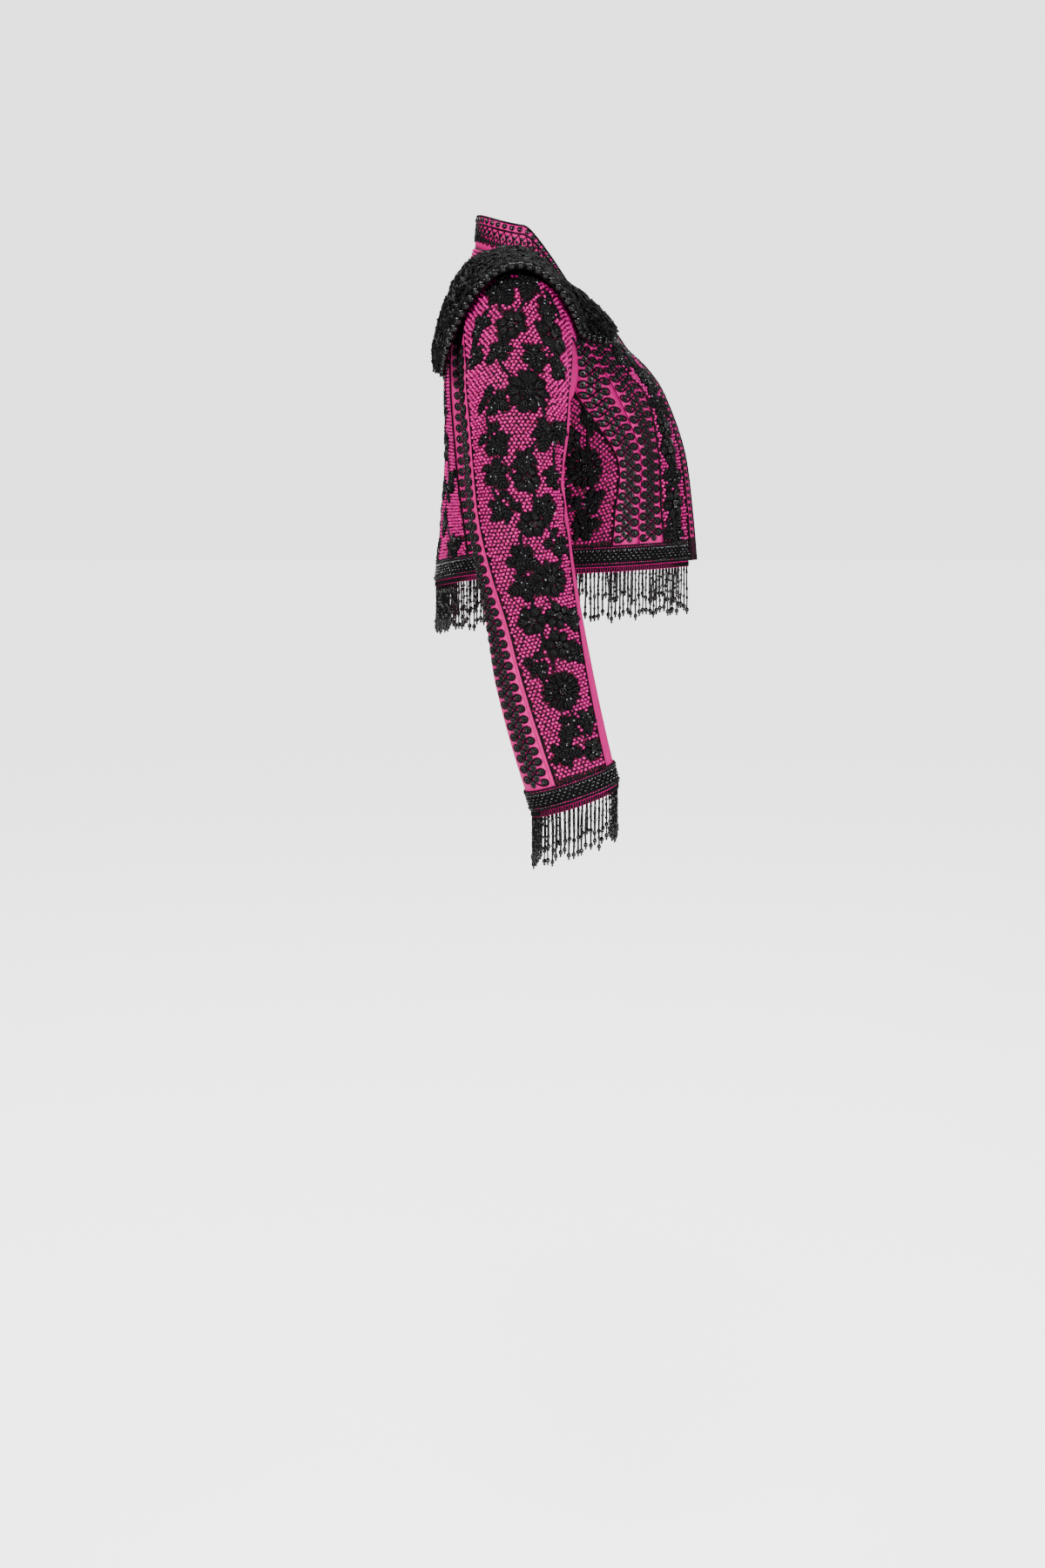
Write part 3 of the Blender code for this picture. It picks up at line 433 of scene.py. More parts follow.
def scatter(work, shape, spots, outs, alongs, sizes=1.0, tone=0.5):
    # copies of a modelled shape, its z out of the cloth and its x along the given way
    spots, outs = spots.reshape(-1, 3), outs.reshape(-1, 3)
    alongs = np.broadcast_to(alongs, outs.shape)
    sides = unit(np.cross(outs, alongs))
    alongs = np.cross(sides, outs)
    # a size is one number, one for each copy, a tuple of three axes, or a row for each copy
    sizes = np.asarray([sizes] if isinstance(sizes, tuple) else sizes, float)
    sizes = np.broadcast_to(sizes if sizes.ndim == 2 else sizes.reshape(-1, 1), (len(spots), 3))
    corners, faces = shape
    local = corners[None] * sizes[:, None, :]
    copies = (spots[:, None] + local[..., :1] * alongs[:, None] + local[..., 1:2] * sides[:, None]
              + local[..., 2:] * outs[:, None])
    step = (np.arange(len(spots)) * len(corners))[:, None, None]
    groups = [(group[None] + step).reshape(-1, group.shape[1]) for group in faces]
    tone = np.asarray(tone, float)
    tone = tone if tone.ndim == 2 else np.broadcast_to(tone, (len(spots),))[:, None]
    tones = np.broadcast_to(tone, (len(spots), len(corners)))
    work.add(copies, groups, tones.ravel())


def tube(work, spots, outs, radius, sides=5, closed=False, flat=1.0):
    # a cord along the points, its section flattened towards the cloth
    spots = np.asarray(spots)
    run = unit(np.roll(spots, -1, 0) - np.roll(spots, 1, 0) if closed
               else np.gradient(spots, axis=0))
    across = unit(np.cross(run, outs))
    up = np.cross(across, run)
    radius = np.broadcast_to(radius, (len(spots),))[:, None, None]
    turn = np.arange(sides) * math.tau / sides + math.pi / 2
    rings = spots[:, None] + radius * (np.cos(turn)[:, None] * across[:, None]
                                       + np.sin(turn)[:, None] * flat * up[:, None])
    faces = [ringQuads(len(spots), sides, closed)]
    if not closed:
        cap = np.arange(sides)
        faces += [cap[None, ::-1], (cap + (len(spots) - 1) * sides)[None]]
    work.add(rings, faces)


def modelled():
    # the shape that bpy.ops made last, taken as points and faces and then removed
    piece = bpy.context.object
    mesh = piece.data
    spots = np.empty(len(mesh.vertices) * 3)
    mesh.vertices.foreach_get("co", spots)
    bySize = {}
    for face in mesh.polygons:
        bySize.setdefault(len(face.vertices), []).append(tuple(face.vertices))
    bpy.data.objects.remove(piece, do_unlink=True)
    return spots.reshape(-1, 3), [np.array(group) for group in bySize.values()]


def changeWhere(parts, test, *changes):
    # selects the parts of the shape in hand that pass the test, then changes them
    bpy.ops.object.mode_set(mode="EDIT")
    bpy.ops.mesh.select_mode(type="FACE" if parts == "polygons" else "VERT")
    bpy.ops.mesh.select_all(action="DESELECT")
    bpy.ops.object.mode_set(mode="OBJECT")
    for part in getattr(bpy.context.object.data, parts):
        part.select = test(part)
    bpy.ops.object.mode_set(mode="EDIT")
    for operator, settings in changes:
        operator(**settings)
    bpy.ops.object.mode_set(mode="OBJECT")


def beadShape(segments, rings):
    # a round bead, one unit in radius
    bpy.ops.mesh.primitive_uv_sphere_add(segments=segments, ring_count=rings, radius=1.0)
    return modelled()


def nubShape():
    # a puffed cell of the lattice: four sides that rise to a small crown
    bpy.ops.mesh.primitive_cone_add(vertices=4, radius1=1.0, radius2=0.55, depth=1.0,
                                    end_fill_type="TRIFAN")
    changeWhere("vertices", lambda spot: spot.co.z < 0 and spot.co.xy.length < 0.1,
         (bpy.ops.mesh.delete, {"type": "VERT"}))
    changeWhere("vertices", lambda spot: spot.co.z > 0 and spot.co.xy.length < 0.1,
         (bpy.ops.transform.translate, {"value": (0, 0, 0.22)}))
    corners, faces = modelled()
    return corners + (0.0, 0.0, 0.5), faces


def discShape():
    # a cupped sequin with a raised rim, one unit in radius
    bpy.ops.mesh.primitive_cylinder_add(vertices=9, radius=1.0, depth=0.16, location=(0, 0, 0.08))
    changeWhere("polygons", lambda face: face.normal.z > 0.9,
         (bpy.ops.mesh.inset, {"thickness": 0.22}), (bpy.ops.mesh.inset, {"thickness": 0.30}),
         (bpy.ops.transform.translate, {"value": (0, 0, -0.10)}))
    return modelled()


def dropShape():
    # a long faceted drop, tip at the origin, hanging along -x
    bpy.ops.mesh.primitive_uv_sphere_add(segments=8, ring_count=6, radius=1.0)
    changeWhere("vertices", lambda spot: spot.co.z > 0.3,
         (bpy.ops.transform.resize, {"value": (0.62, 0.62, 1.7), "center_override": (0, 0, 0.3)}))
    return modelled()


def curlShape(bend, sides=3, steps=4):
    # a short curl of bullion, one unit in thickness
    turn = np.linspace(-bend, bend, steps)
    spots = np.stack([2.6 * np.sin(turn), 1.4 * (1 - np.cos(turn)) - 0.4,
                      1.5 * np.cos(turn / 1.1) - 0.4], -1)
    work = Work()
    tube(work, spots, np.tile([0.0, 0.0, 1.0], (steps, 1)), 0.5, sides=sides)
    bySize = {}
    for group in work.faces:
        bySize.setdefault(group.shape[1], []).append(group)
    return work.spots[0], [np.concatenate(groups) for groups in bySize.values()]


def shell(panel, name, finish, lining, lift=cloth["wall"] / 2, thickness=cloth["thickness"],
          cell=cloth["cell"]):
    # the cloth itself: a grid over the panel with its lining behind
    columns = max(3, round(float(panel.widths.mean()) / cell))
    rows = max(3, round(panel.length / cell))
    across = np.linspace(0, 1, columns + 1)[None, :] * np.ones((rows + 1, 1))
    along = np.linspace(0, 1, rows + 1)[:, None] * np.ones((1, columns + 1))
    widths = np.interp(along, np.linspace(0, 1, panel.rows + 1), panel.widths)
    inset = cloth["gap"] / 2 / np.maximum(widths, 0.002)
    spots, normals = panel.on(inset + across * (1 - 2 * inset), along, lift)
    quads = gridQuads(*spots.shape[:2])
    way = np.cross(spots[0, 1] - spots[0, 0], spots[1, 0] - spots[0, 0])
    if way @ normals[0, 0] < 0:
        quads = quads[:, ::-1]
    mesh = bpy.data.meshes.new(name)
    mesh.from_pydata(spots.reshape(-1, 3).tolist(), [], quads.tolist())
    flat = np.stack([(across - 0.5) * widths, along * panel.length], -1).reshape(-1, 2)
    corners = np.empty(len(mesh.loops), int)
    mesh.loops.foreach_get("vertex_index", corners)
    mesh.uv_layers.new(name="cut").data.foreach_set("uv", flat[corners].ravel())
    for side in (finish, lining):
        mesh.materials.append(side.material)
    piece = linked(bpy.data.objects.new(name, mesh))
    bpy.context.view_layer.objects.active = piece
    solid = piece.modifiers.new("wall", "SOLIDIFY")
    solid.thickness = thickness
    solid.offset, solid.material_offset = -1, 1
    bpy.ops.object.modifier_apply(modifier="wall")
    piece.data.polygons.foreach_set("use_smooth", [True] * len(piece.data.polygons))
    return piece


def mirrored(piece, name):
    twin = piece.copy()
    twin.name = name
    twin.data = piece.data.copy()
    twin.data.transform(Matrix.Scale(-1, 4, (1, 0, 0)))
    twin.data.flip_normals()
    return linked(twin)


class Wire:
    # a socket that takes part in sums
    def __init__(self, finish, socket):
        self.finish, self.socket = finish, socket

    def sum(self, operation, *values):
        return self.finish.node("ShaderNodeMath", dict(enumerate(values)), operation=operation)

    def __add__(self, other):
        return self.sum("ADD", self, other)

    def __radd__(self, other):
        return self.sum("ADD", other, self)

    def __mul__(self, other):
        return self.sum("MULTIPLY", self, other)

    def __pow__(self, other):
        return self.sum("POWER", self, other)

    def sine(self):
        return self.sum("SINE", self)


class Finish:
    # a material, with short names for the nodes that feed its shader
    def __init__(self, name, **constants):
        self.material = bpy.data.materials.new(name)
        self.material.use_nodes = True
        self.tree = self.material.node_tree
        self.shader = self.tree.nodes["Principled BSDF"]
        for socket, value in constants.items():
            self.shader.inputs[socket.replace("_", " ")].default_value = value

    def node(self, kind, sockets, output=0, **settings):
        made = self.tree.nodes.new(kind)
        for name, value in settings.items():
            setattr(made, name, value)
        for key, value in sockets.items():
            self.join(value, made.inputs[key])
        return Wire(self, made.outputs[output])

    def join(self, value, socket):
        if isinstance(value, Wire):
            self.tree.links.new(value.socket, socket)
        else:
            socket.default_value = value

    def feed(self, name, value):
        self.join(value, self.shader.inputs[name])

    def mix(self, share, first, second):
        first, second = (value if isinstance(value, Wire) else (*value, 1.0)
                         for value in (first, second))
        return self.node("ShaderNodeMix", {0: share, 6: first, 7: second}, 2, data_type="RGBA")

    def noise(self, vector, scale, detail=2.0):
        return self.node("ShaderNodeTexNoise", {"Vector": vector, "Scale": scale,
                                                "Detail": detail})

    def stretch(self, vector, scale):
        return self.node("ShaderNodeMapping", {"Vector": vector, "Scale": scale})

    def bump(self, height, distance, strength):
        self.feed("Normal", self.node("ShaderNodeBump", {
            "Strength": strength, "Distance": distance, "Height": height}))

    def cut(self):
        # metres across and along the piece's flat cut
        return self.node("ShaderNodeUVMap", {}, uv_map="cut")

    def place(self):
        return self.node("ShaderNodeTexCoord", {}, 3)

    def tone(self):
        return self.node("ShaderNodeAttribute", {}, 2, attribute_name="tone")

    def axes(self, vector):
        made = self.node("ShaderNodeSeparateXYZ", {0: vector}).socket.node
        return [Wire(self, socket) for socket in made.outputs]


colours = {
    "pink": (0.52, 0.0012, 0.155), "pinkLight": (0.78, 0.005, 0.315),
    # the darkest pink below is painted shade, used at the foot of each lattice nub
    "pinkDark": (0.56, 0.002, 0.165), "paintedShadePink": (0.012, 0.0001, 0.004),
    "pinkDeep": (0.40, 0.001, 0.085), "pinkThread": (0.50, 0.0003, 0.155),
    "satin": (0.54, 0.0003, 0.172), "satinLight": (0.63, 0.0004, 0.205),
    "black": (0.0016, 0.0015, 0.0018), "blackSoft": (0.0026, 0.0020, 0.0026),
    "disc": (0.008, 0.008, 0.008), "crystal": (0.26, 0.27, 0.30),
}


def satinFinish(name, base, light, roughness, flat=True):
    # satin: a fine twill, slubs along the length and soft changes of tone
    satin = Finish(name, Sheen_Weight=0.01, Sheen_Roughness=0.4, Specular_IOR_Level=0.13)
    cut = satin.cut() if flat else satin.place()
    across, along, _ = satin.axes(cut)
    slub = satin.noise(satin.stretch(cut, (900.0, 90.0, 1.0)), 1.0, 3.0)
    cloud = satin.noise(cut, 38.0)
    twill = ((across + along * 0.6) * (math.tau / 0.0007)).sine()
    colour = satin.mix(cloud, colours[base], colours[light])
    satin.feed("Base Color", satin.mix(slub ** 3.0, colour, colours["pinkDeep"]))
    satin.feed("Roughness", roughness + slub * 0.14)
    satin.bump(twill * 0.25 + slub * 0.5 + cloud * 1.5, 0.0005, 0.5)
    return satin


def groundFinish():
    # the quilted ground under the lattice: dark thread crossing over pink satin
    ground = Finish("lattice ground", Roughness=0.7, Specular_IOR_Level=0.12)
    thread = ground.noise(ground.stretch(ground.cut(), (420.0, 420.0, 1.0)), 1.0, 3.0)
    share = ground.node("ShaderNodeValToRGB", {0: thread})
    for stop, place in zip(share.socket.node.color_ramp.elements, (0.56, 0.70)):
        stop.position = place
    ground.feed("Base Color", ground.mix(share, colours["blackSoft"], colours["pinkDeep"]))
    ground.bump(thread, 0.0008, 0.6)
    return ground


# padded nubs wound with fuchsia thread; the colour is painted shade, near black, at each nub's
# foot, and light pink of a random tone at its crown
def nubFinish():
    # padded nubs wound with fuchsia thread
    nub = Finish("lattice nubs", Specular_IOR_Level=0.12)
    tone, place = nub.tone(), nub.place()
    thread = nub.noise(nub.stretch(place, (1400.0, 1400.0, 380.0)), 1.0)
    cloud = nub.noise(place, 30.0)
    colour = nub.mix(tone, colours["paintedShadePink"], colours["pinkLight"])
    colour = nub.mix(cloud * 0.15, colour, colours["pink"])
    nub.feed("Base Color", nub.mix(thread ** 2.5, colour, colours["pinkDeep"]))
    nub.feed("Roughness", 0.46 + thread * 0.2)
    nub.bump(thread, 0.0005, 0.6)
    return nub


def beadFinish(name, base, roughness, coat, grain=0.0, gloss=0.2):
    # polished glass, with small changes of gloss from bead to bead
    base = colours[base]
    bead = Finish(name, Coat_Weight=coat, Coat_Roughness=0.06, Specular_IOR_Level=gloss)
    place = bead.place()
    speck = bead.noise(place, 260.0, 1.0)
    tint = bead.noise(place, 90.0, 1.0)
    bead.feed("Base Color", bead.mix(tint, base, tuple(2.2 * value for value in base)))
    bead.feed("Roughness", roughness + speck * 0.16)
    bead.bump(speck, 0.0004, 0.35 + grain)
    return bead


def bullionFinish(name, pitch, gloss, coat, roughness):
    # purl and gimp: a fine coil wound tight, so light breaks along it
    bullion = Finish(name, Specular_IOR_Level=gloss, Coat_Weight=coat, Coat_Roughness=0.14)
    place, base = bullion.place(), colours["black"]
    across, along, depth = bullion.axes(place)
    coil = ((across * 0.8 + along + depth * 0.9) * (math.tau / pitch)).sine()
    grain = bullion.noise(place, 700.0)
    bullion.feed("Base Color", bullion.mix(grain, base, tuple(3.0 * value for value in base)))
    bullion.feed("Roughness", roughness + grain * 0.25)
    bullion.bump(coil * 0.5 + grain, 0.0006, 0.6)
    return bullion


finishes = {
    "satin": satinFinish("fuchsia satin", "satin", "satinLight", 0.36),
    "lining": satinFinish("lining", "pinkDeep", "pinkDark", 0.45),
    "ground": groundFinish(),
    "nub": nubFinish(),
    "thread": satinFinish("fuchsia braid", "pinkThread", "satinLight", 0.40, False),
    "jet": beadFinish("jet beads", "black", 0.08, 0.45),
    "disc": beadFinish("smoked sequins", "disc", 0.30, 0.1),
    "crystal": beadFinish("clear crystals", "crystal", 0.05, 1.0),
    "barrel": beadFinish("cut black bugles", "black", 0.06, 0.8, 0.0, 0.5),
    "pinkBead": beadFinish("fuchsia beads", "pinkThread", 0.15, 0.6),
    "bullion": bullionFinish("black bullion", 0.0011, 0.20, 0.12, 0.16),
    "crust": bullionFinish("black crust", 0.0011, 0.10, 0.0, 0.40),
    "cord": bullionFinish("black cord", 0.0012, 0.12, 0.0, 0.32),
    "strand": beadFinish("strand beads", "black", 0.18, 0.2),
    "pearl": beadFinish("polished black beads", "black", 0.11, 0.12, 0.0, 0.22),
    "felt": beadFinish("black felt", "black", 0.55, 0.0, 0.3, 0.05),
}
print("finishes made")


def settle(piece, paired, node=None):
    # the piece, and its mirror image where it has one, ride on the jacket,
    # and stand for a node where one is given
    pieces = {"": piece}
    if paired:
        pieces = {"_left": piece, "_right": mirrored(piece, piece.name.replace("_left", "_right"))}
    for side, made in pieces.items():
        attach(made, "root")
        if node:
            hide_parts(node + side)
    return list(pieces.values())


def placed(name, paired, *rows, node=None):
    # makes pieces out of rows of label, finish and work, but none out of empty work
    pieces = []
    for label, finish, work in rows:
        if work.count:
            piece = work.make(f"{name}_{label}" + ("_left" if paired else ""), finishes[finish])
            pieces += settle(piece, paired, node)
    return pieces


shapes = {
    "nub": nubShape(), "disc": discShape(), "drop": dropShape(),
    "seed": beadShape(5, 4), "bead": beadShape(8, 5), "round": beadShape(12, 8),
    "small": beadShape(6, 4), "barrel": beadShape(5, 3),
    "curls": [curlShape(bend) for bend in (0.8, 1.2, 1.5)],
}


def torsoPanel(left, right, columns=30, top=neck, rows=170):
    return Panel(torsoPoint, 1, left, right, top, rows, columns, torsoFolds)


back, middle, front, strip = (seamLine(name) for name in ("back", "middle", "front", "band"))
sleeveBack, sleeveFront = sleeveSeam(7), sleeveSeam(8)
panels = {
    "back_panel": torsoPanel(lambda level: -back(level), back, 90),
    "side_back": torsoPanel(back, armholeEdge("sideBack", -1)),
    "side_panel": torsoPanel(seamLine("sideBack"), seamLine("sideFront"), 60, sidePanelTop, 90),
    "side_front": torsoPanel(armholeEdge("sideFront", 1), middle),
    "middle_front": torsoPanel(middle, front),
    "front_panel": torsoPanel(front, strip),
    "front_band": torsoPanel(strip, seamLine("edge"), 12),
    "upper_sleeve": Panel(sleevePoint, -1, sleeveBack, sleeveFront, cuff, 240, 70, sleeveFolds),
    "under_sleeve": Panel(sleevePoint, -1, sleeveFront, sleeveSeam(7, 360.0), cuff, 240, 50,
                          sleeveFolds),
    "collar": Panel(collarPoint, 1, lambda level: 0 * level - collarEnd,
                    lambda level: 0 * level + collarEnd, 1.0, 12, 200),
}

lattice = {
    "pitch": 0.0049, "row": 0.0039, "height": 0.0017, "sink": 0.0006,
    "long": 0.0029, "short": 0.0021,    # half the length and width of a nub
    "lean": 32.0,                       # turned from the row, one way and then the other
    "room": 0.0004,                     # kept free round a petal
    "middles": {"bloom": 0.30, "daisy": 0.34, "mum": 0.40},
    "across": 60,                       # nubs on each side of the middle, at most
    "shift": 0.00032, "turn": 8.0,      # how much their places and turns vary
    "longer": (0.92, 1.06), "wider": (0.90, 1.08), "higher": (0.80, 1.12),
    "darkest": 0.55,
}

# beaded motifs: kind, level, angle or bearing, size (m), turn
motifs = {
    "upper_sleeve": (
        ("leaf", 1.28, -16, 0.032, 60), ("leaf", 1.18, 10, 0.028, 90),
        ("sprig", 1.45, 34, 0.026, 125), ("leaf", 1.75, -42, 0.026, 100),
        ("bloom", 2.00, -6, 0.030, 20), ("bloom", 1.95, 40, 0.038, 0),
        ("sprig", 2.40, -50, 0.026, 40), ("leaf", 2.60, -20, 0.024, 150),
        ("leaf", 2.75, 20, 0.026, 75), ("leaf", 2.75, 48, 0.024, 110),
        ("daisy", 3.45, 12, 0.046, 0), ("sprig", 3.60, -26, 0.028, 30),
        ("sprig", 4.35, -26, 0.030, 50), ("leaf", 4.25, 34, 0.028, 100),
        ("leaf", 4.10, 58, 0.022, 80), ("leaf", 4.75, 8, 0.022, 150),
        ("leaf", 5.00, -24, 0.027, 60), ("bloom", 5.10, 12, 0.028, 10),
        ("leaf", 5.10, 50, 0.022, 60), ("sprig", 5.65, -18, 0.028, 140),
        ("leaf", 5.70, 34, 0.024, 80), ("bloom", 6.00, 14, 0.027, 0),
        ("sprig", 6.45, 46, 0.026, 40), ("leaf", 6.70, 0, 0.028, 30),
        ("daisy", 7.15, 28, 0.038, 15), ("leaf", 7.25, -6, 0.026, 170),
        ("bloom", 7.95, -2, 0.029, 0), ("bloom", 7.95, 30, 0.026, 30),
        ("leaf", 8.10, 52, 0.020, 90), ("bloom", 8.55, 24, 0.028, 15),
        ("sprig", 8.90, -4, 0.022, 70), ("leaf", 8.80, 44, 0.022, 60),
        ("mum", 9.50, 18, 0.042, 10), ("leaf", 10.30, 42, 0.022, 95),
        ("sprig", 10.35, 16, 0.024, 110), ("leaf", 10.85, 6, 0.026, 10),
        ("bloom", 10.95, 40, 0.022, 0),
    ),
    "side_panel": (
        ("mum", 1.80, 110, 0.044, 0), ("bloom", 2.25, 105, 0.024, 0),
        ("leaf", 2.30, 115, 0.026, 80), ("sprig", 1.20, 111, 0.030, 20),
        ("leaf", 0.80, 109, 0.026, 10), ("daisy", 1.45, 84, 0.040, 15),
        ("leaf", 2.10, 86, 0.028, 70), ("sprig", 0.85, 86, 0.028, 150),
        ("leaf", 0.80, 74, 0.026, 40), ("bloom", 2.05, 76, 0.024, 0),
        ("leaf", 1.40, 99, 0.024, 120), ("leaf", 2.65, 92, 0.024, 60),
        ("leaf", 2.60, 76, 0.022, 110), ("leaf", 0.95, 98, 0.022, 60),
    ),
    "front_panel": (
        ("leaf", 5.05, 147, 0.026, 70), ("bloom", 4.50, 147, 0.030, 0),
        ("leaf", 3.95, 150, 0.030, 75), ("bloom", 3.35, 153, 0.028, 0),
        ("leaf", 2.85, 154, 0.030, 100), ("bloom", 2.40, 154, 0.026, 20),
        ("bloom", 2.00, 153, 0.028, 0), ("leaf", 1.60, 153, 0.031, 80),
        ("bloom", 1.15, 151, 0.031, 10), ("leaf", 0.72, 150, 0.030, 60),
        ("leaf", 5.60, 144, 0.026, 110), ("leaf", 3.65, 155, 0.022, 60),
        ("leaf", 6.15, 145, 0.028, 80), ("leaf", 6.65, 148, 0.020, 100),
        ("leaf", 5.80, 151, 0.024, 60), ("leaf", 5.25, 139, 0.024, 100),
        ("leaf", 4.62, 138, 0.024, 80), ("leaf", 4.05, 139, 0.024, 60),
    ),
    "back_panel": (
        ("mum", 3.20, 0, 0.052, 0), ("sprig", 4.10, 0, 0.034, 90),
        ("bloom", 5.00, 0, 0.032, 0), ("daisy", 1.20, 0, 0.048, 20),
        ("sprig", 2.20, 0, 0.034, 90), ("leaf", 4.40, 24, 0.030, 60),
        ("bloom", 3.50, 27, 0.032, 0), ("leaf", 2.70, 22, 0.030, 130),
        ("bloom", 2.15, 26, 0.032, 15), ("sprig", 1.60, 38, 0.032, 50),
        ("bloom", 1.00, 30, 0.032, 0), ("leaf", 0.62, 47, 0.028, 20),
        ("leaf", 5.70, 14, 0.028, 120), ("leaf", 5.10, 28, 0.028, 40),
        ("leaf", 2.80, 12, 0.026, 40), ("leaf", 1.55, 20, 0.026, 150),
        ("leaf", 0.60, 14, 0.028, 30), ("leaf", 3.75, 12, 0.026, 150),
    ),
}
# stems between motifs, by their place in the list, with the sideways bend in metres
stems = {
    "upper_sleeve": ((0, 4, .006), (1, 4, -.004), (2, 5, .005), (3, 6, .006), (4, 7, .005),
                     (5, 8, -.008), (5, 9, .005), (7, 10, .006), (8, 10, .004), (11, 12, .008),
                     (10, 13, -.008), (13, 17, .008), (12, 16, -.007), (16, 19, .006),
                     (17, 21, -.006), (20, 22, .006), (21, 23, .008), (22, 24, -.006),
                     (23, 25, .006), (24, 27, .006), (25, 26, -.005), (27, 29, .007),
                     (26, 30, -.008), (29, 32, .007), (30, 32, .006), (32, 35, -.008),
                     (33, 36, .007), (34, 35, .006), (14, 18, .006), (15, 17, .004)),
    "side_panel": ((1, 0, .005), (2, 0, -.004), (0, 3, .005), (3, 4, -.005), (6, 5, .006),
                   (5, 7, -.006), (9, 5, .006), (7, 8, .005), (10, 0, .005), (11, 6, .005),
                   (12, 9, .005), (13, 3, .005)),
    "front_panel": ((12, 10, .003), (10, 0, .004), (0, 1, .004), (1, 2, -.004), (2, 3, .004),
                    (3, 4, -.004), (4, 5, .003), (6, 7, -.004), (7, 8, .004), (8, 9, -.004)),
    "back_panel": ((2, 1, .000), (1, 0, .004), (0, 4, -.004), (4, 3, .004), (13, 5, .006),
                   (5, 6, -.006), (6, 7, .006), (7, 8, -.006), (8, 9, .006), (9, 10, -.006),
                   (10, 11, .006), (12, 2, .006), (14, 0, .005), (15, 3, .005), (16, 3, .005),
                   (17, 0, -.005)),
}

bead = {
    "pad": 0.0022,          # height of a padded petal
    "stroke": 0.00075,      # thickness of a line of bullion
    "leafWidth": 0.66,
    # fullness, bluntness of the ends (less is blunter) and depth of the scallops
    "petalCurve": (2.2, 0.62, 0.10),
    "leafCurve": (1.7, 0.86, 0.13),
    "stem": 0.0011,
    "stemEnds": (0.12, 0.88), "stemApart": 0.95,
    "centre": 0.0015,       # radius of the beads at a flower's centre
    "glints": 4,            # clear crystals on each motif
    "glint": (0.0004, 0.0009), "spread": 0.32,
    "grid": (9, 5),         # points along a pad and across it
    "line": (1.0, 1.15, 0.8),           # thickness of a stroke along itself
    "under": 0.0003,        # how far a pad sits in the cloth
    # how much larger each kind is made than its place in the list says
    "grow": {"leaf": 1.24, "sprig": 1.25, "bloom": 1.13, "daisy": 1.06, "mum": 1.0},
}


def dome(across, along):
    # the height of a pad, by shares of its width and length
    return np.sqrt(np.maximum((1 - across ** 2) * (1 - along ** 4), 0))


def petal(pads, lines, panel, x, y, turn, length, width, strokes, along=False, scallops=4):
    # a padded petal or leaf, worked over with lines of bullion
    full, blunt, wave = bead["petalCurve"] if along else bead["leafCurve"]

    def place(s, t, height):
        body = (1 - np.abs(s) ** full) ** blunt * (1 + wave * np.cos(scallops * math.pi * s))
        dx, dy = turned(s * length / 2, t * width / 2 * body, turn)
        return panel.at(x + dx, y + dy, height)
    rows, columns = bead["grid"]
    s, t = np.meshgrid(np.linspace(-0.985, 0.985, rows), np.linspace(-1, 1, columns),
                       indexing="ij")
    under = bead["under"]
    spots, _ = place(s, t, cloth["wall"] / 2 - under + (bead["pad"] + under) * dome(t, s))
    pads.add(spots, [gridQuads(*s.shape)[:, [0, 3, 2, 1]]])
    pads.petals.append((x, y, turn, length, width))
    # where each stroke starts and ends, in shares of half the length and half the width
    if along:
        starts = [(-0.9, side * 0.1, 0.96 - 0.25 * abs(side), side * 0.72)
                  for side in np.linspace(-1, 1, strokes)]
    else:
        starts = [(share, 0.0, min(share + 0.42, 0.93), side * 1.06) for side in (-1, 1)
                  for share in np.linspace(-0.92, 0.62, strokes)]
    share = np.linspace(0, 1, 3)
    for s0, t0, s1, t1 in starts:
        across = t0 + (t1 - t0) * share
        run = s0 + (s1 - s0) * share ** 1.15
        spots, outs = place(run, across, cloth["wall"] / 2 + bead["pad"] * dome(across, run)
                            + bead["stroke"] * 0.6)
        tube(lines, spots, outs, bead["stroke"] * np.array(bead["line"]), sides=4)


def ringOf(work, panel, x, y, turn, size, petals, inner, outer, share, strokes):
    # petals round a middle, between two radii given as shares of the flower's size
    inner, outer = inner * size, outer * size
    for index in range(petals):
        way = turn + 360.0 * index / petals
        dx, dy = turned((inner + outer) / 2, 0, way)
        width = share * math.tau * (inner + outer) / 2 / petals
        petal(*work, panel, x + dx, y + dy, way, outer - inner, width, strokes, True, 1)


def centreOf(beads, panel, x, y, radius, count):
    turn = np.arange(count) * math.tau / count
    dx = np.concatenate([[0.0], radius * np.cos(turn)])
    dy = np.concatenate([[0.0], radius * np.sin(turn)])
    spots, outs = panel.face(x + dx, y + dy, bead["pad"] * 1.1)
    scatter(beads, shapes["bead"], spots, outs, upward, bead["centre"])


# lobes of a leaf: bearing, length and place of the foot on the midrib, of its size
lobes = {
    "leaf": ((0, 0.74, -0.18), (52, 0.58, -0.24), (-52, 0.58, -0.24), (112, 0.40, -0.30),
             (-112, 0.40, -0.30)),
    "sprig": ((0, 0.60, -0.02), (46, 0.54, -0.14), (-46, 0.54, -0.14), (86, 0.46, -0.36),
              (-86, 0.46, -0.36)),
}
# rings of a flower: turn, petals, inner and outer radius and fullness of its size, strokes
rings = {
    "bloom": ((0, 6, 0.13, 0.52, 1.15, 4),),
    "daisy": ((0, 10, 0.18, 0.52, 1.1, 3), (18, 5, 0.05, 0.22, 1.2, 2)),
    "mum": ((0, 14, 0.26, 0.53, 1.1, 2), (13, 9, 0.10, 0.30, 1.15, 2)),
}
# the beads of a flower's centre: radius (m) and how many stand round the first
centres = {"bloom": (0.0026, 6), "daisy": (0.0028, 6), "mum": (0.0030, 7)}


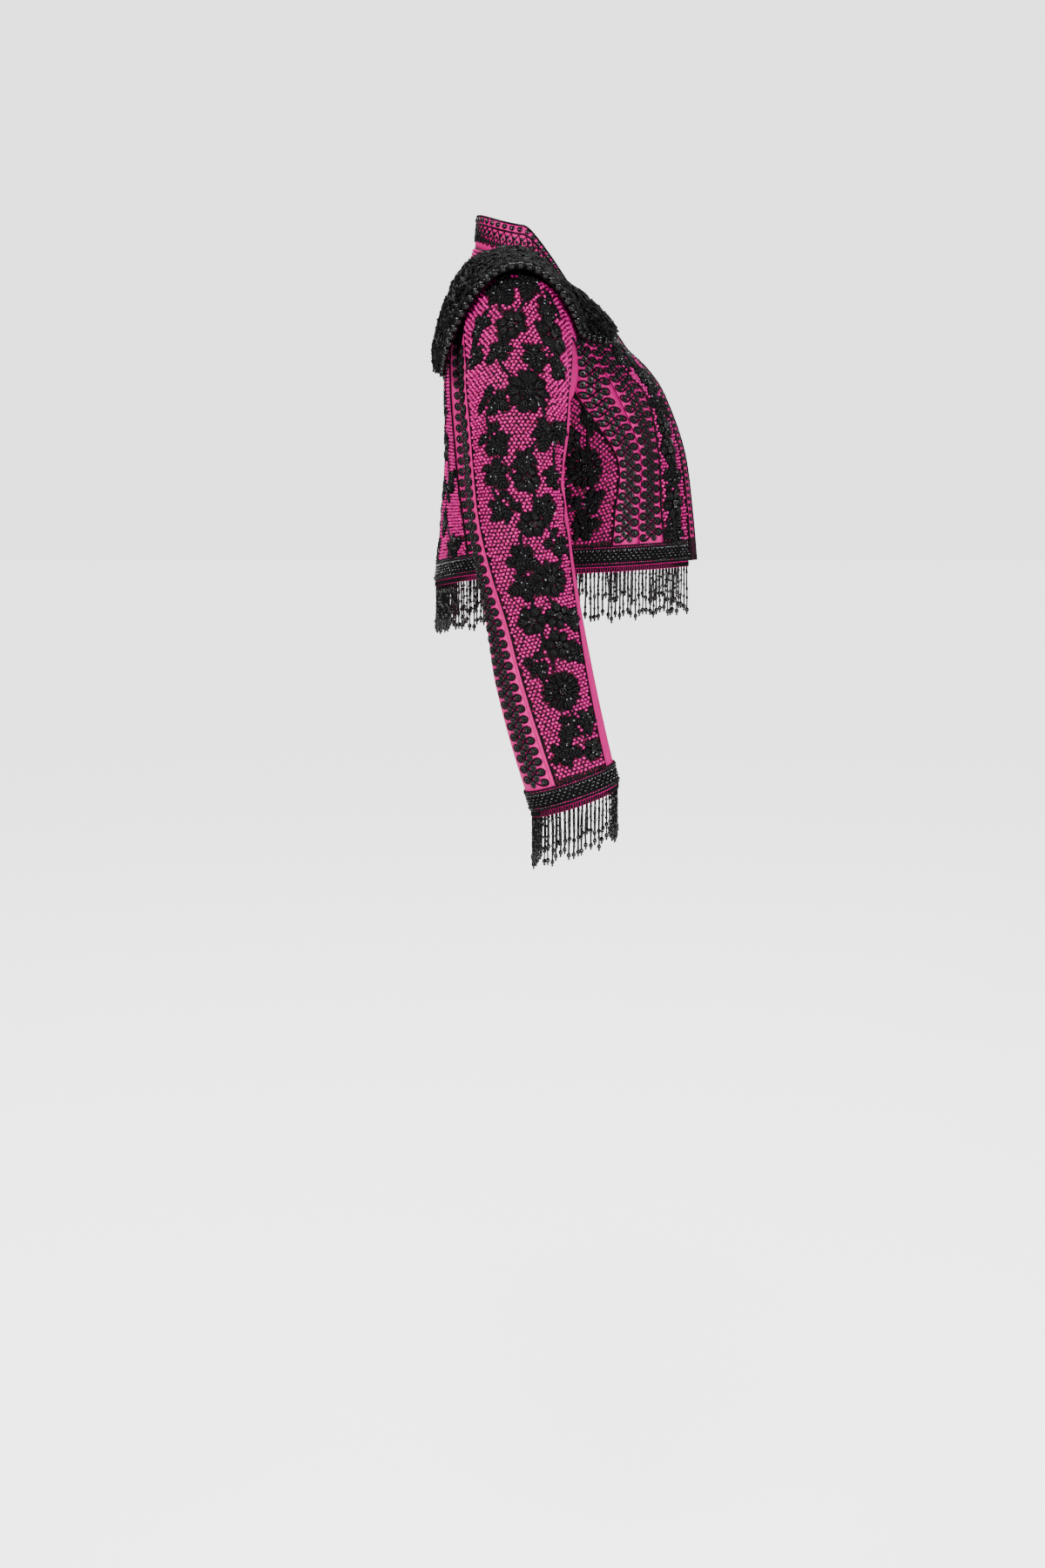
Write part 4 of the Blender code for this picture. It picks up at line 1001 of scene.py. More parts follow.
def motif(pads, lines, beads, panel, kind, x, y, size, turn):
    for way, share, start in lobes.get(kind, ()):
        length = size * share
        ax, ay = turned(size * start, 0, turn)
        dx, dy = turned(length * 0.5, 0, turn + way)
        petal(pads, lines, panel, x + ax + dx, y + ay + dy, turn + way, length,
              length * bead["leafWidth"], 4 if share < 0.6 else 6, False, 3)
    for more, *ring in rings.get(kind, ()):
        ringOf((pads, lines), panel, x, y, turn + more, size, *ring)
    if kind in centres:
        centreOf(beads, panel, x, y, *centres[kind])


def stem(lines, panel, start, end, bend):
    # two cords side by side, from one motif towards the next
    radius = bead["stem"]
    share = np.linspace(*bead["stemEnds"], 12)
    way = np.array(end) - np.array(start)
    side = np.array([-way[1], way[0]]) / max(np.hypot(*way), 1e-6)
    for offset in (-bead["stemApart"], bead["stemApart"]):
        off = (bend * np.sin(math.pi * share) + 0.25 * bend * np.sin(math.tau * share)
               + offset * radius)
        x, y = (start[axis] + way[axis] * share + side[axis] * off for axis in (0, 1))
        tube(lines, *panel.face(x, y, radius * 1.3), radius)


def flowers(name):
    # the places of a panel's motifs, its pads, and rows of its beaded pieces
    panel = panels[name]
    pads, lines, beads, crystals, stalks = (Work() for _ in range(5))
    covered = [(kind, *panel.find(level, angle), size * bead["grow"][kind], turn)
               for kind, level, angle, size, turn in motifs[name]]
    for first, second, bend in stems[name]:
        ends = [covered[index][1:3] for index in (first, second)]
        stem(stalks, panel, *ends, bend)
        if name == "back_panel" and abs(ends[0][0]) + abs(ends[1][0]) > 0.01:
            stem(stalks, panel, *[(-x, y) for x, y in ends], -bend)
    if name == "back_panel":
        covered += [(kind, -x, y, size, 180 - turn) for kind, x, y, size, turn in covered
                    if abs(x) > 0.004]
    for kind, x, y, size, turn in covered:
        motif(pads, lines, beads, panel, kind, x, y, size, turn)
        off = dice.uniform(-bead["spread"], bead["spread"], (2, bead["glints"])) * size
        spots, outs = panel.face(x + off[0], y + off[1], bead["pad"])
        scatter(crystals, shapes["seed"], spots, outs, upward,
                dice.uniform(*bead["glint"], bead["glints"]))
    return covered, pads, (("pads", "felt", pads), ("bullion", "bullion", lines),
                           ("beads", "jet", beads), ("stems", "cord", stalks),
                           ("crystals", "crystal", crystals))


def nubs(panel, covered, petals, ends, left, right):
    # rows of nubs, each row half a pitch along, left out under the flowers
    rows = np.arange(ends[0], panel.length - ends[1], lattice["row"])
    shift = (np.arange(len(rows)) % 2) / 2
    most = lattice["across"]
    x = (np.arange(-most, most + 1)[None, :] + shift[:, None]) * lattice["pitch"]
    y = rows[:, None] * np.ones(x.shape[1])
    lean = (4 * shift[:, None] - 1) * np.ones(x.shape[1])
    half = panel.widthAt(y) / 2
    keep = (x > left - half) & (x < half - right(y))
    for kind, cx, cy, size, _ in covered:
        keep &= np.hypot(x - cx, y - cy) > lattice["middles"].get(kind, 0.0) * size
    for cx, cy, turn, length, width in petals:
        run, off = turned(x - cx, y - cy, -turn)
        room = lattice["room"]
        keep &= np.hypot(run / (length / 2 + room), off / (width / 2 + room)) > 1
    lean = lean[keep]
    count = len(lean)
    x = x[keep] + dice.normal(0, lattice["shift"], count)
    y = y[keep] + dice.normal(0, lattice["shift"], count)
    spots, outs = panel.face(x, y, -lattice["sink"])
    level = dice.uniform(*lattice["higher"], count)
    sizes = np.stack([lattice["long"] * dice.uniform(*lattice["longer"], count),
                      lattice["short"] * dice.uniform(*lattice["wider"], count),
                      (lattice["height"] + lattice["sink"]) * level], -1)
    along = unit(panel.at(x + 0.001, y)[0] - spots)
    turn = np.radians(lattice["lean"] * lean + dice.normal(0, lattice["turn"], count))[:, None]
    work = Work()
    # each nub's value falls to nothing at its foot, painting shade between the nubs, and is random
    # at its crown
    scatter(work, shapes["nub"], spots, outs,
            along * np.cos(turn) + np.cross(outs, along) * np.sin(turn), sizes,
            dice.uniform(lattice["darkest"], 1, (count, 1))
            * np.minimum(shapes["nub"][0][:, 2], 1.0))
    return work


scroll = {
    "row": 0.0123,          # from one loop to the next on a side
    "share": 0.480, "reach": 0.0225, "least": 0.0085,
    "out": 1.5,             # from the middle to a loop, of half a row
    "loop": 0.64,           # radius of a loop, of half a row
    "turn": 135.0,          # how far a loop goes round, to each side
    "crossing": (0.75, 0.16, 1.3),      # where a cord rises over the other, how long and high
    "most": 1.35,           # how much larger a disc may be than it is stated
    "cord": 0.00105, "disc": 0.0035, "middleDisc": 0.0038, "discHigh": 0.0046,
    "seed": 0.00110, "seedUp": 0.0011, "clear": 0.0012,
}


def scrollColumn(panel, low, high, share, fromSeam=None, margin=None):
    # one cord zigzags up the panel and turns a loop round a sequin at each side
    cords, discs, beads = Work(), Work(), Work()
    heights = np.linspace(low, high, 80)
    wide = heights[panel.widthAt(heights) * share > scroll["least"]]

    def centre(at):
        half = panel.widthAt(at) / 2
        if margin is not None:
            return np.minimum(scroll["reach"] + margin - half, 0.0)
        return 0.0 * half if fromSeam is None else half - fromSeam
    # even steps along the column itself, which is longer than the panel's middle
    heights = np.linspace(wide[0], wide[-1], 80)
    runs = lengthsAlong(panel.at(centre(heights), heights)[0])
    count = 2 * int(runs[-1] / scroll["row"])
    half = runs[-1] / count
    turn = np.radians(np.linspace(scroll["turn"], -scroll["turn"], 11))
    link = np.linspace(0, 1, 6)[1:-1]
    peak, spread, rise = scroll["crossing"]
    x, y, over = [], [], []
    for step in range(count):
        side = 1 if step % 2 else -1
        loop = (side * (scroll["out"] + scroll["loop"] * np.cos(turn)),
                step + 0.5 + scroll["loop"] * np.sin(turn))
        if step:
            x.append(x[-1][-1] + (loop[0][0] - x[-1][-1]) * link)
            y.append(y[-1][-1] + (loop[1][0] - y[-1][-1]) * link)
            over.append(np.exp(-((link - peak) / spread) ** 2))
        x.append(loop[0])
        y.append(loop[1])
        over.append(0 * turn)
    x, y, over = (np.concatenate(part) for part in (x, y, over))
    y = np.interp(half * y, runs, heights)

    reach = scroll["reach"] if fromSeam is None else fromSeam - scroll["clear"]

    def unitAt(at):
        full = np.minimum(panel.widthAt(at) * share, reach)
        return (full - scroll["cord"]) / (scroll["out"] + scroll["loop"])
    spots, outs = panel.face(centre(y) + x * unitAt(y), y, scroll["cord"] * (0.75 + rise * over))
    tube(cords, spots, outs, scroll["cord"], sides=4)
    step = np.arange(count)
    side = np.where(step % 2, 1.0, -1.0)
    at = np.interp(half * (step + 0.5), runs, heights)
    small = np.sqrt(np.minimum(unitAt(at) / half, scroll["most"]))
    for place, radius in ((scroll["out"], "disc"), (-0.5, "middleDisc")):
        spots, outs = panel.face(centre(at) + place * side * unitAt(at), at, 0.0004)
        size = scroll[radius] * small
        scatter(discs, shapes["disc"], spots, outs, [0.0, 0.3, 1.0],
                np.stack([size, size, np.full(count, scroll["discHigh"])], -1))
        scatter(beads, shapes["seed"], spots + outs * scroll["seedUp"], outs, [0.0, 0.3, 1.0],
                scroll["seed"] * small)
    return (("scroll", "cord", cords), ("sequins", "disc", discs), ("seeds", "jet", beads))


# camera and backdrop
view = {"place": (-2.777, 0.005, -0.2205), "down": 8.7, "lens": 52.28, "sensor": 36.0,
        "backdrop": 2.6, "ambient": 0.26, "floor": -1.45, "aim": (0.0, 0.0, -0.3)}
# lamps: name, place, size, power, tint
lamps = (
    ("key", (-2.6, 1.5, 0.7), 0.5, 125.0, (1.0, 0.98, 0.96)),
    ("fill", (-2.5, -2.0, -0.2), 0.7, 100.0, (0.97, 0.98, 1.0)),
    ("top", (-0.3, 0.3, 2.6), 0.6, 55.0, (1.0, 1.0, 1.0)),
    ("back", (1.6, 1.4, 2.2), 0.7, 70.0, (1.0, 1.0, 1.0)),
    ("side", (1.6, -1.6, 2.2), 0.7, 60.0, (1.0, 1.0, 1.0)),
)


def turnTo(piece, ahead):
    piece.rotation_euler = ahead.to_track_quat("-Z", "Y").to_euler()
    return piece


def stageScene():
    down = math.radians(view["down"])
    bpy.ops.object.camera_add(location=view["place"])
    camera = turnTo(bpy.context.object, Vector((math.cos(down), 0.0, -math.sin(down))))
    camera.data.sensor_fit = "VERTICAL"
    camera.data.sensor_height, camera.data.lens = view["sensor"], view["lens"]
    bpy.context.scene.camera = camera
    for name, place, size, power, tint in lamps:
        bpy.ops.object.light_add(type="AREA", location=place)
        lamp = turnTo(bpy.context.object, Vector(view["aim"]) - Vector(place))
        lamp.name = name
        lamp.data.size, lamp.data.energy, lamp.data.color = size, power, tint
    world = bpy.data.worlds.new("studio")
    world.use_nodes = True
    nodes, links = world.node_tree.nodes, world.node_tree.links
    nodes["Background"].inputs["Color"].default_value = (1.0, 1.0, 1.0, 1.0)
    # the backdrop is white to the eye, and throws a softer light on the cloth
    seen = nodes.new("ShaderNodeLightPath")
    power = nodes.new("ShaderNodeMath")
    power.operation = "MULTIPLY_ADD"
    power.inputs[1].default_value = view["backdrop"] - view["ambient"]
    power.inputs[2].default_value = view["ambient"]
    links.new(seen.outputs["Is Camera Ray"], power.inputs[0])
    links.new(power.outputs[0], nodes["Background"].inputs["Strength"])
    bpy.context.scene.world = world
    bpy.ops.mesh.primitive_plane_add(size=40.0, location=(0, 0, view["floor"]))
    floor = bpy.context.object
    floor.name = "floor"
    paper = Finish("pale floor", Base_Color=(0.86, 0.86, 0.86, 1.0), Roughness=0.9,
                   Emission_Strength=view["backdrop"])
    paper.feed("Emission Color", paper.node("ShaderNodeLightPath", {}))
    floor.data.materials.append(paper.material)
    floor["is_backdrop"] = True


stageScene()

trim = {
    "cord": 0.0009,         # black cord along a lattice panel, by its radius
    "cordIn": 0.0010,       # and its middle from the seam
    "hemEdge": 0.027,       # where the lattice and scrolls stop over a band
    "topEdge": 0.004,
    "nubEdge": 0.0030,      # from a seam to the first nub
    "ribbonEdges": (0.0070, 0.0064),    # and from a seam with a ribbon, back and front
    "cap": 0.005, "underStart": 0.012,  # kept free below the cap and at the underarm
    "underColumn": 0.0192,  # from the sleeve's back seam to the middle of its scrolls
    "sleeveRibbon": 0.0042, "frontRibbon": 0.0036,
    "underarm": 2.8,        # the level where the sleeve's front ribbon begins
    "margins": {"side_front": 0.0012, "middle_front": 0.0015},
}
# the front band: its cloth is a little thicker than the rest
strap = {"extra": 0.0006, "edges": ((-1, 0.0014, 0.0008), (1, 0.0012, 0.0009)),
         "ends": (0.006, 0.002), "pitch": 0.0080, "disc": (0.0029, 0.0029, 0.0060),
         "knob": (0.0016, 0.0016, 0.0013), "knobUp": 0.0010, "cord": 0.0010, "row": 0.0021}
collar = {
    "lines": (0.965, 0.72), "cord": 0.0012,     # the two cords round it
    "dots": 50, "dotsAt": 0.845, "dot": (0.0033, 0.0034, 0.0018),
    "loops": 52, "loopAt": 0.29, "loopHigh": 0.110, "loopWide": 0.36, "hang": 0.69,
    "loopCord": 0.0010,
    # sequins: how far along a loop, share of the height, radius
    "sequins": ((0.0, 0.29, 0.0026), (0.0, 0.56, 0.0025), (0.5, 0.47, 0.0022)),
    "sequinHigh": 0.0040, "seed": 0.0009, "full": 0.033,
}
sheets = []


def edgeLine(work, panel, side, inset, radius, low=0.0, high=None, sides=5, flat=1.0, rise=0.7):
    # a cord or binding beside a seam
    high = panel.length if high is None else high
    y = np.linspace(low, high, max(4, round((high - low) / 0.004)))
    x = side * (panel.widthAt(y) / 2 - inset)
    tube(work, *panel.face(x, y, radius * rise), radius, sides=sides, flat=flat)


def dressLattice(name, panel, cords, bindings):
    # nubs and beaded flowers, with cords or ribbons at the seams
    covered, pads, rows = flowers(name)
    if name == "upper_sleeve":
        ends = (trim["cap"], trim["hemEdge"])
        start = panel.find(trim["underarm"], 0.0)[1]
        for side, width, low in ((-1, trim["sleeveRibbon"], 0.0),
                                 (1, trim["frontRibbon"], start)):
            edgeLine(bindings, panel, side, width / 2 + 0.0001, width / 2, low, sides=8,
                     flat=0.2, rise=0.02)
            edgeLine(cords, panel, side, width + 0.0007, trim["cord"], low)
        edgeLine(cords, panel, 1, trim["cordIn"], trim["cord"], 0.0, start)
        left, beyond = trim["ribbonEdges"]
    else:
        ends, start = (trim["hemEdge"], trim["topEdge"]), math.inf
        for side in (-1, 1):
            edgeLine(cords, panel, side, trim["cordIn"], trim["cord"])
        left = beyond = trim["nubEdge"]
    lattices = nubs(panel, covered, pads.petals, ends, left,
                    lambda y: np.where(y < start, trim["nubEdge"], beyond))
    return (("lattice", "nub", lattices), *rows)


def dressScroll(name, panel, cords, _):
    # cord scrolls, and a fine cord in the seam
    if name == "under_sleeve":
        return scrollColumn(panel, trim["underStart"], panel.length - trim["hemEdge"], 0.5,
                            trim["underColumn"])
    edgeLine(cords, panel, -1, 0.0004, 0.0004, sides=4, rise=0.2)
    return scrollColumn(panel, trim["hemEdge"], panel.length - trim["topEdge"], scroll["share"],
                        margin=trim["margins"].get(name))


def dressStrap(_, panel, cords, __):
    # a row of discs between two cords, and cords across at the hem
    for side, inset, radius in strap["edges"]:
        edgeLine(cords, panel, side, inset, radius)
    low, high = strap["ends"]
    y = np.arange(trim["hemEdge"] + low, panel.length - high, strap["pitch"])
    spots, outs = panel.face(0 * y, y, 0.0004)
    ahead = unit(panel.at(0 * y, y + 0.001)[0] - spots)
    dots, knobs = Work(), Work()
    scatter(dots, shapes["disc"], spots, outs, ahead, strap["disc"])
    scatter(knobs, shapes["bead"], spots + outs * strap["knobUp"], outs, ahead, strap["knob"])
    for step in np.arange(0.001, trim["hemEdge"], strap["row"]):
        x = np.linspace(-0.42, 0.42, 6) * panel.widthAt(step)
        tube(cords, *panel.face(x, step, 0.0006), strap["cord"])
    return ("dots", "disc", dots), ("knobs", "jet", knobs)


def dressCollar(_, panel, cords, __):
    # all of it grows smaller where the collar is low
    steps = np.linspace(0.001, 0.999, 150)
    size = np.interp(np.abs(steps - 0.5) * 2 * collarEnd, [row[0] for row in collarRows],
                     [min(row[1] / collar["full"], 1.0) for row in collarRows])

    def line(across, share, radius, sides):
        spots, outs = panel.on(across, share, cloth["wall"] / 2 + 0.0006)
        tube(cords, spots, outs, radius * np.interp(across, steps, size), sides=sides)

    def row(work, shape, across, share, height, sizes):
        spots, outs = panel.on(across, share, cloth["wall"] / 2 + height)
        scatter(work, shapes[shape], spots, outs, upward, sizes)
    for share in collar["lines"]:
        line(steps, share, collar["cord"], 5)
    dots, discs = Work(), Work()
    across = (np.arange(collar["dots"]) + 0.5) / collar["dots"]
    row(dots, "bead", across, collar["dotsAt"], 0.0005,
        np.outer(np.interp(across, steps, size), collar["dot"]))
    # a cord that hangs in loops from the second line, with a sequin in each
    count = collar["loops"]
    turn = np.radians(np.linspace(135, 405, 13))
    across, share = [], []
    for step in range(count):
        across += [step, *(step + 0.5 - collar["loopWide"] * np.cos(turn))]
        share += [collar["hang"], *(collar["loopAt"] + collar["loopHigh"] * np.sin(turn))]
    line(np.clip(np.array(across) / count, 0.002, 0.998), np.array(share), collar["loopCord"], 4)
    middle = (np.arange(count) + 0.5) / count
    small = np.interp(middle, steps, size)
    for shift, share, radius in collar["sequins"]:
        row(discs, "disc", middle + shift / count, share, 0.0001,
            np.outer(small, (radius, radius, collar["sequinHigh"])))
        row(dots, "seed", middle + shift / count, share, 0.0010, collar["seed"] * small)
    return ("sequins", "disc", discs), ("dots", "jet", dots)


cape = {
    "grid": (121, 25),      # points along the cape and across it
    "reach": 0.045,         # how far out the resting surface is looked for
    "inside": (0.03, 0.95),             # shares across that rays are kept within
    "missed": 0.004,        # the height where a ray finds nothing
    "thickness": 0.0036, "sunk": 0.0012, "cell": 0.0055,
    "curls": 1900, "curl": (0.0019, 0.0032), "curlLift": (-0.0006, 0.0012), "curlLean": 0.28,
    "seeds": 300, "seed": (0.0011, 0.0019), "seedLift": (0.0006, 0.0022),
    "pinks": 30, "pink": (0.0010, 0.0017), "pinkLift": 0.0009,
    "edgeBead": 0.0041, "edgePitch": 0.0096, "edgeOut": 0.0046, "edgeUp": 0.0012,
    "between": 0.0024,      # a smaller bead between two of the edge
    "drop": (0.0034, 0.0034, 0.0058), "drops": 16, "dropOut": 0.004, "dropLean": 0.25,
    "dropEnds": (0.985, 0.015),
}


def capePanel():
    # the cape's surface lies on the CAD cape, smoothed
    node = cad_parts["shoulder_cape_left"]
    tree = BVHTree.FromPolygons([spot.co for spot in node.data.vertices],
                                [face.vertices for face in node.data.polygons])
    rows, columns = cape["grid"]
    last = len(capeRibs) - 1
    level = np.linspace(0, last, rows)[:, None] * np.ones(columns)
    across = np.linspace(0, 1, columns)[None, :] * np.ones((rows, 1))
    spots = capePoint(level, across)
    along, side = np.gradient(spots, axis=0), np.gradient(spots, axis=1)
    normals = unit(np.cross(along, side))
    if normals[rows // 2, columns // 2][2] < 0:
        normals = -normals
    height = np.zeros(level.shape)
    low, high = cape["inside"]
    for row, column in np.ndindex(rows, columns):
        start, normal = spots[row, column], normals[row, column]
        inset = min(max(across[row, column], low), high)
        if inset != across[row, column] or row in (0, rows - 1):
            start = capePoint(min(max(level[row, column], 0.06), last - 0.06), inset)
        far = tree.ray_cast(Vector(start + normal * cape["reach"]), Vector(-normal),
                            2 * cape["reach"])[3]
        height[row, column] = cape["missed"] if far is None else cape["reach"] - far
    for _ in range(4):
        padded = np.pad(height, 1, mode="edge")
        height = sum(padded[1 + dy:rows + 1 + dy, 1 + dx:columns + 1 + dx]
                     for dy in (-1, 0, 1) for dx in (-1, 0, 1)) / 9
    made = Panel.__new__(Panel)
    made.setGrid(spots + normals * (height - cloth["wall"] / 2)[..., None], normals)
    return made


def onCape(count):
    # even but unordered places over the cape
    rows = round(math.sqrt(count * 2.6))
    columns = round(count / rows)
    y, x = np.meshgrid((np.arange(rows) + 0.5) / rows, (np.arange(columns) + 0.5) / columns,
                       indexing="ij")
    x = x + dice.uniform(-0.5, 0.5, x.shape) / columns
    y = y + dice.uniform(-0.5, 0.5, y.shape) / rows
    return x.ravel(), y.ravel()


def dressCape(panel):
    # curls of bullion with seeds among them, beads round the edge and drops at both ends
    curls, seeds, pinks, rims, drops = (Work() for _ in range(5))
    face = cloth["wall"] / 2
    x, y = onCape(cape["curls"])
    order = dice.integers(0, len(shapes["curls"]), len(x))
    for index, curl in enumerate(shapes["curls"]):
        own = order == index
        lift = face + dice.uniform(*cape["curlLift"], own.sum())
        spots, outs = panel.on(x[own], y[own], lift)
        scatter(curls, curl, spots, unit(outs + dice.normal(0, cape["curlLean"], outs.shape)),
                dice.normal(0, 1, outs.shape), dice.uniform(*cape["curl"], own.sum()))
    x, y = onCape(cape["seeds"])
    spots, outs = panel.on(x, y, face + dice.uniform(*cape["seedLift"], len(x)))
    scatter(seeds, shapes["seed"], spots, outs, dice.normal(0, 1, outs.shape),
            dice.uniform(*cape["seed"], len(x)))
    x, y = onCape(cape["pinks"])
    spots, outs = panel.on(x, y, face + cape["pinkLift"])
    scatter(pinks, shapes["seed"], spots, outs, dice.normal(0, 1, outs.shape),
            dice.uniform(*cape["pink"], len(x)))

    def edge(along, lift):
        # points and normals of the outer edge, and the way out of it
        spots, outs = panel.on(1.0, along, lift)
        return spots, outs, unit(spots - panel.on(0.96, along, lift)[0])
    runs = lengthsAlong(panel.spots[:, -1])
    count = round(runs[-1] / cape["edgePitch"])
    along = np.interp((np.arange(count) + 0.5) / count * runs[-1], runs,
                      np.linspace(0, 1, len(runs)))
    spots, outs, outward = edge(along, 0.0)
    scatter(rims, shapes["round"], spots + outward * cape["edgeOut"] + outs * cape["edgeUp"],
            outs, outward, cape["edgeBead"])
    scatter(rims, shapes["bead"], *edge((along[1:] + along[:-1]) / 2, cape["edgeUp"]),
            cape["between"])
    place = np.linspace(0.10, 0.97, cape["drops"])
    for share, inward in zip(cape["dropEnds"], (-0.04, 0.04)):
        spots, outs = panel.on(place, share, 0.0006)
        way = unit(spots - panel.on(place, share + inward, 0.0006)[0])
        way = unit(way + dice.normal(0, cape["dropLean"], spots.shape))
        scatter(drops, shapes["drop"], spots + way * cape["dropOut"], way, outs, cape["drop"])
    return (("bullion", "crust", curls), ("seeds", "pearl", seeds), ("glints", "pinkBead", pinks),
            ("rim", "pearl", rims), ("drops", "jet", drops))


# each panel's finish, whether it has a twin on the right, and what dresses it
dressing = {
    "back_panel": ("ground", False, dressLattice),
    "side_back": ("satin", True, dressScroll),
    "side_panel": ("ground", True, dressLattice),
    "side_front": ("satin", True, dressScroll),
    "middle_front": ("satin", True, dressScroll),
    "front_panel": ("ground", True, dressLattice),
    "front_band": ("satin", True, dressStrap),
    "upper_sleeve": ("ground", True, dressLattice),
    "under_sleeve": ("satin", True, dressScroll),
    "collar": ("satin", False, dressCollar),
}
for name, (finish, paired, dress) in dressing.items():
    panel = panels[name]
    piece = shell(panel, name + "_cloth" + ("_left" if paired else ""), finishes[finish],
                  finishes["lining"],
                  thickness=cloth["thickness"] + (strap["extra"] if name == "front_band" else 0.0))
    pieces = settle(piece, paired, name)
    cords, bindings = Work(), Work()
    rows = dress(name, panel, cords, bindings)
    sheets.append((pieces, panel, "hung", placed(
        name, paired, *rows, ("cords", "cord", cords), ("binding", "thread", bindings))))
print("panels dressed")

panel = capePanel()
piece = shell(panel, "shoulder_cape_cloth_left", finishes["felt"], finishes["felt"],
              cloth["wall"] / 2 - cape["sunk"], cape["thickness"], cape["cell"])
pieces = settle(piece, True, "shoulder_cape")
sheets.append((pieces, panel, "draped", placed("shoulder_cape", True, *dressCape(panel))))
print("capes made")

band = {
    "height": 0.024, "body": 0.0010, "clearance": 0.0003, "end": 156.0,
    "bevel": 0.0006, "step": 0.004,
    # black cords: height and radius, from the top edge down and from the lower edge up
    "topCords": ((0.0008, 0.0008), (0.0042, 0.0007)),
    "lowCords": ((0.0058, 0.0007), (0.0010, 0.0008)),
    "glint": (0.0056, 0.00045, 0.0009, 0.0037),     # down from the top, size, lift, pitch
    # the pink lines with beads on them, one measured down from the top: height, radius and
    # flatness of the line, size, lift and pitch of the beads
    "topLine": (0.0025, 0.0006, 0.45, 0.0011, 0.0006, 0.0030),
    "lowLine": (0.0034, 0.0007, 0.35, 0.0015, 0.0005, 0.0036),
    # bullion between them: first row, room above the last, and from row to row
    "rows": (0.0080, 0.0062, 0.0031), "barrel": (0.0026, 0.0011, 0.0012),
    "barrelPitch": 0.0068, "barrelShift": 0.37,
    "uneven": (0.70, 1.20),
}
fringe = {
    "tape": 0.0062, "thickness": 0.0018, "tuck": 0.0010,
    "length": 0.050, "pitch": 0.0053,
    "stitch": 0.0029, "stitchCord": 0.0012, "stitchEnds": (0.08, 0.92), "stitchUp": 0.0002,
    "strand": 0.00120, "shares": (0.86, 0.16, 0.07), "away": 0.0007, "curl": 0.0002,
    "knot": 0.00190, "knotHigh": (0.0018, 0.0026), "knots": (0.08, 0.30, 0.30),
    "lowest": 0.86,
    # the two beads at the end of a strand: how far down, and size
    "ends": (("small", 0.0016, (0.0027, 0.0027, 0.0032)),
             ("seed", 0.0055, (0.0014, 0.0014, 0.0018))),
}


def alongBand(strip):
    return np.linspace(0, strip.length, round(strip.length / band["step"]),
                       endpoint=not strip.closed)


def evenly(strip, pitch, phase=0.5):
    # even places round a band
    count = round(strip.length / pitch)
    return (np.arange(count) + phase) / count * strip.length


def sweepBand(strip, profile):
    # a solid band of the profile's lifts and heights
    run, work, size = alongBand(strip), Work(), len(profile)
    lifts, ups = np.array(profile).T
    faces = [ringQuads(len(run), size, strip.closed)[:, [0, 3, 2, 1]]]
    if not strip.closed:
        cap = np.arange(size)
        faces += [cap[None], (cap + (len(run) - 1) * size)[None, ::-1]]
    work.add(strip.at(run[:, None], ups[None, :], lifts[None, :])[0], faces)
    return work


def bandRow(work, strip, up, radius, lift, flat=1.0):
    tube(work, *strip.at(alongBand(strip), up, lift), radius, closed=strip.closed, flat=flat)


def beadRow(work, strip, up, size, lift, pitch, shape="seed", phase=0.5):
    run = evenly(strip, pitch, phase)
    spots, outs = strip.at(run, up, lift)
    ahead, _ = strip.at(run + 0.001, up, lift)
    sizes = np.broadcast_to(size, (3,)) * dice.uniform(*band["uneven"], (len(run), 1))
    scatter(work, shapes[shape], spots, outs, unit(ahead - spots), sizes)


def beadedLine(pink, beads, strip, up, radius, flat, size, lift, pitch):
    # a fine pink line with a row of beads on it
    bandRow(pink, strip, up, radius, band["body"], flat)
    beadRow(beads, strip, up, size, band["body"] + lift, pitch)


def dressBand(strip, name, paired):
    # the black band: cords, fine pink lines, lines of bullion and rows of beads
    cords, bullions, beads, glints, pink = (Work() for _ in range(5))
    top, body, bevel = band["height"], band["body"], band["bevel"]
    ground = sweepBand(strip, ((0.0, 0.0), (body, bevel), (body, top - bevel), (0.0, top)))
    for up, radius in (*((top - down, radius) for down, radius in band["topCords"]),
                       *band["lowCords"]):
        bandRow(cords, strip, up, radius, body + radius * 0.3)
    down, size, lift, pitch = band["glint"]
    beadRow(glints, strip, top - down, size, body + lift, pitch)
    down, *line = band["topLine"]
    beadedLine(pink, beads, strip, top - down, *line)
    first, room, between = band["rows"]
    for row, up in enumerate(np.arange(first, top - room, between)):
        beadRow(bullions, strip, up, band["barrel"], body + 0.0004, band["barrelPitch"],
                "barrel", band["barrelShift"] * row)
    beadedLine(pink, beads, strip, *band["lowLine"])
    grounds = placed(name, paired, ("ground", "felt", ground), node=name)
    bits = placed(name, paired, ("cords", "cord", cords), ("bullion", "barrel", bullions),
                  ("beads", "jet", beads), ("glints", "crystal", glints), ("pink", "thread", pink))


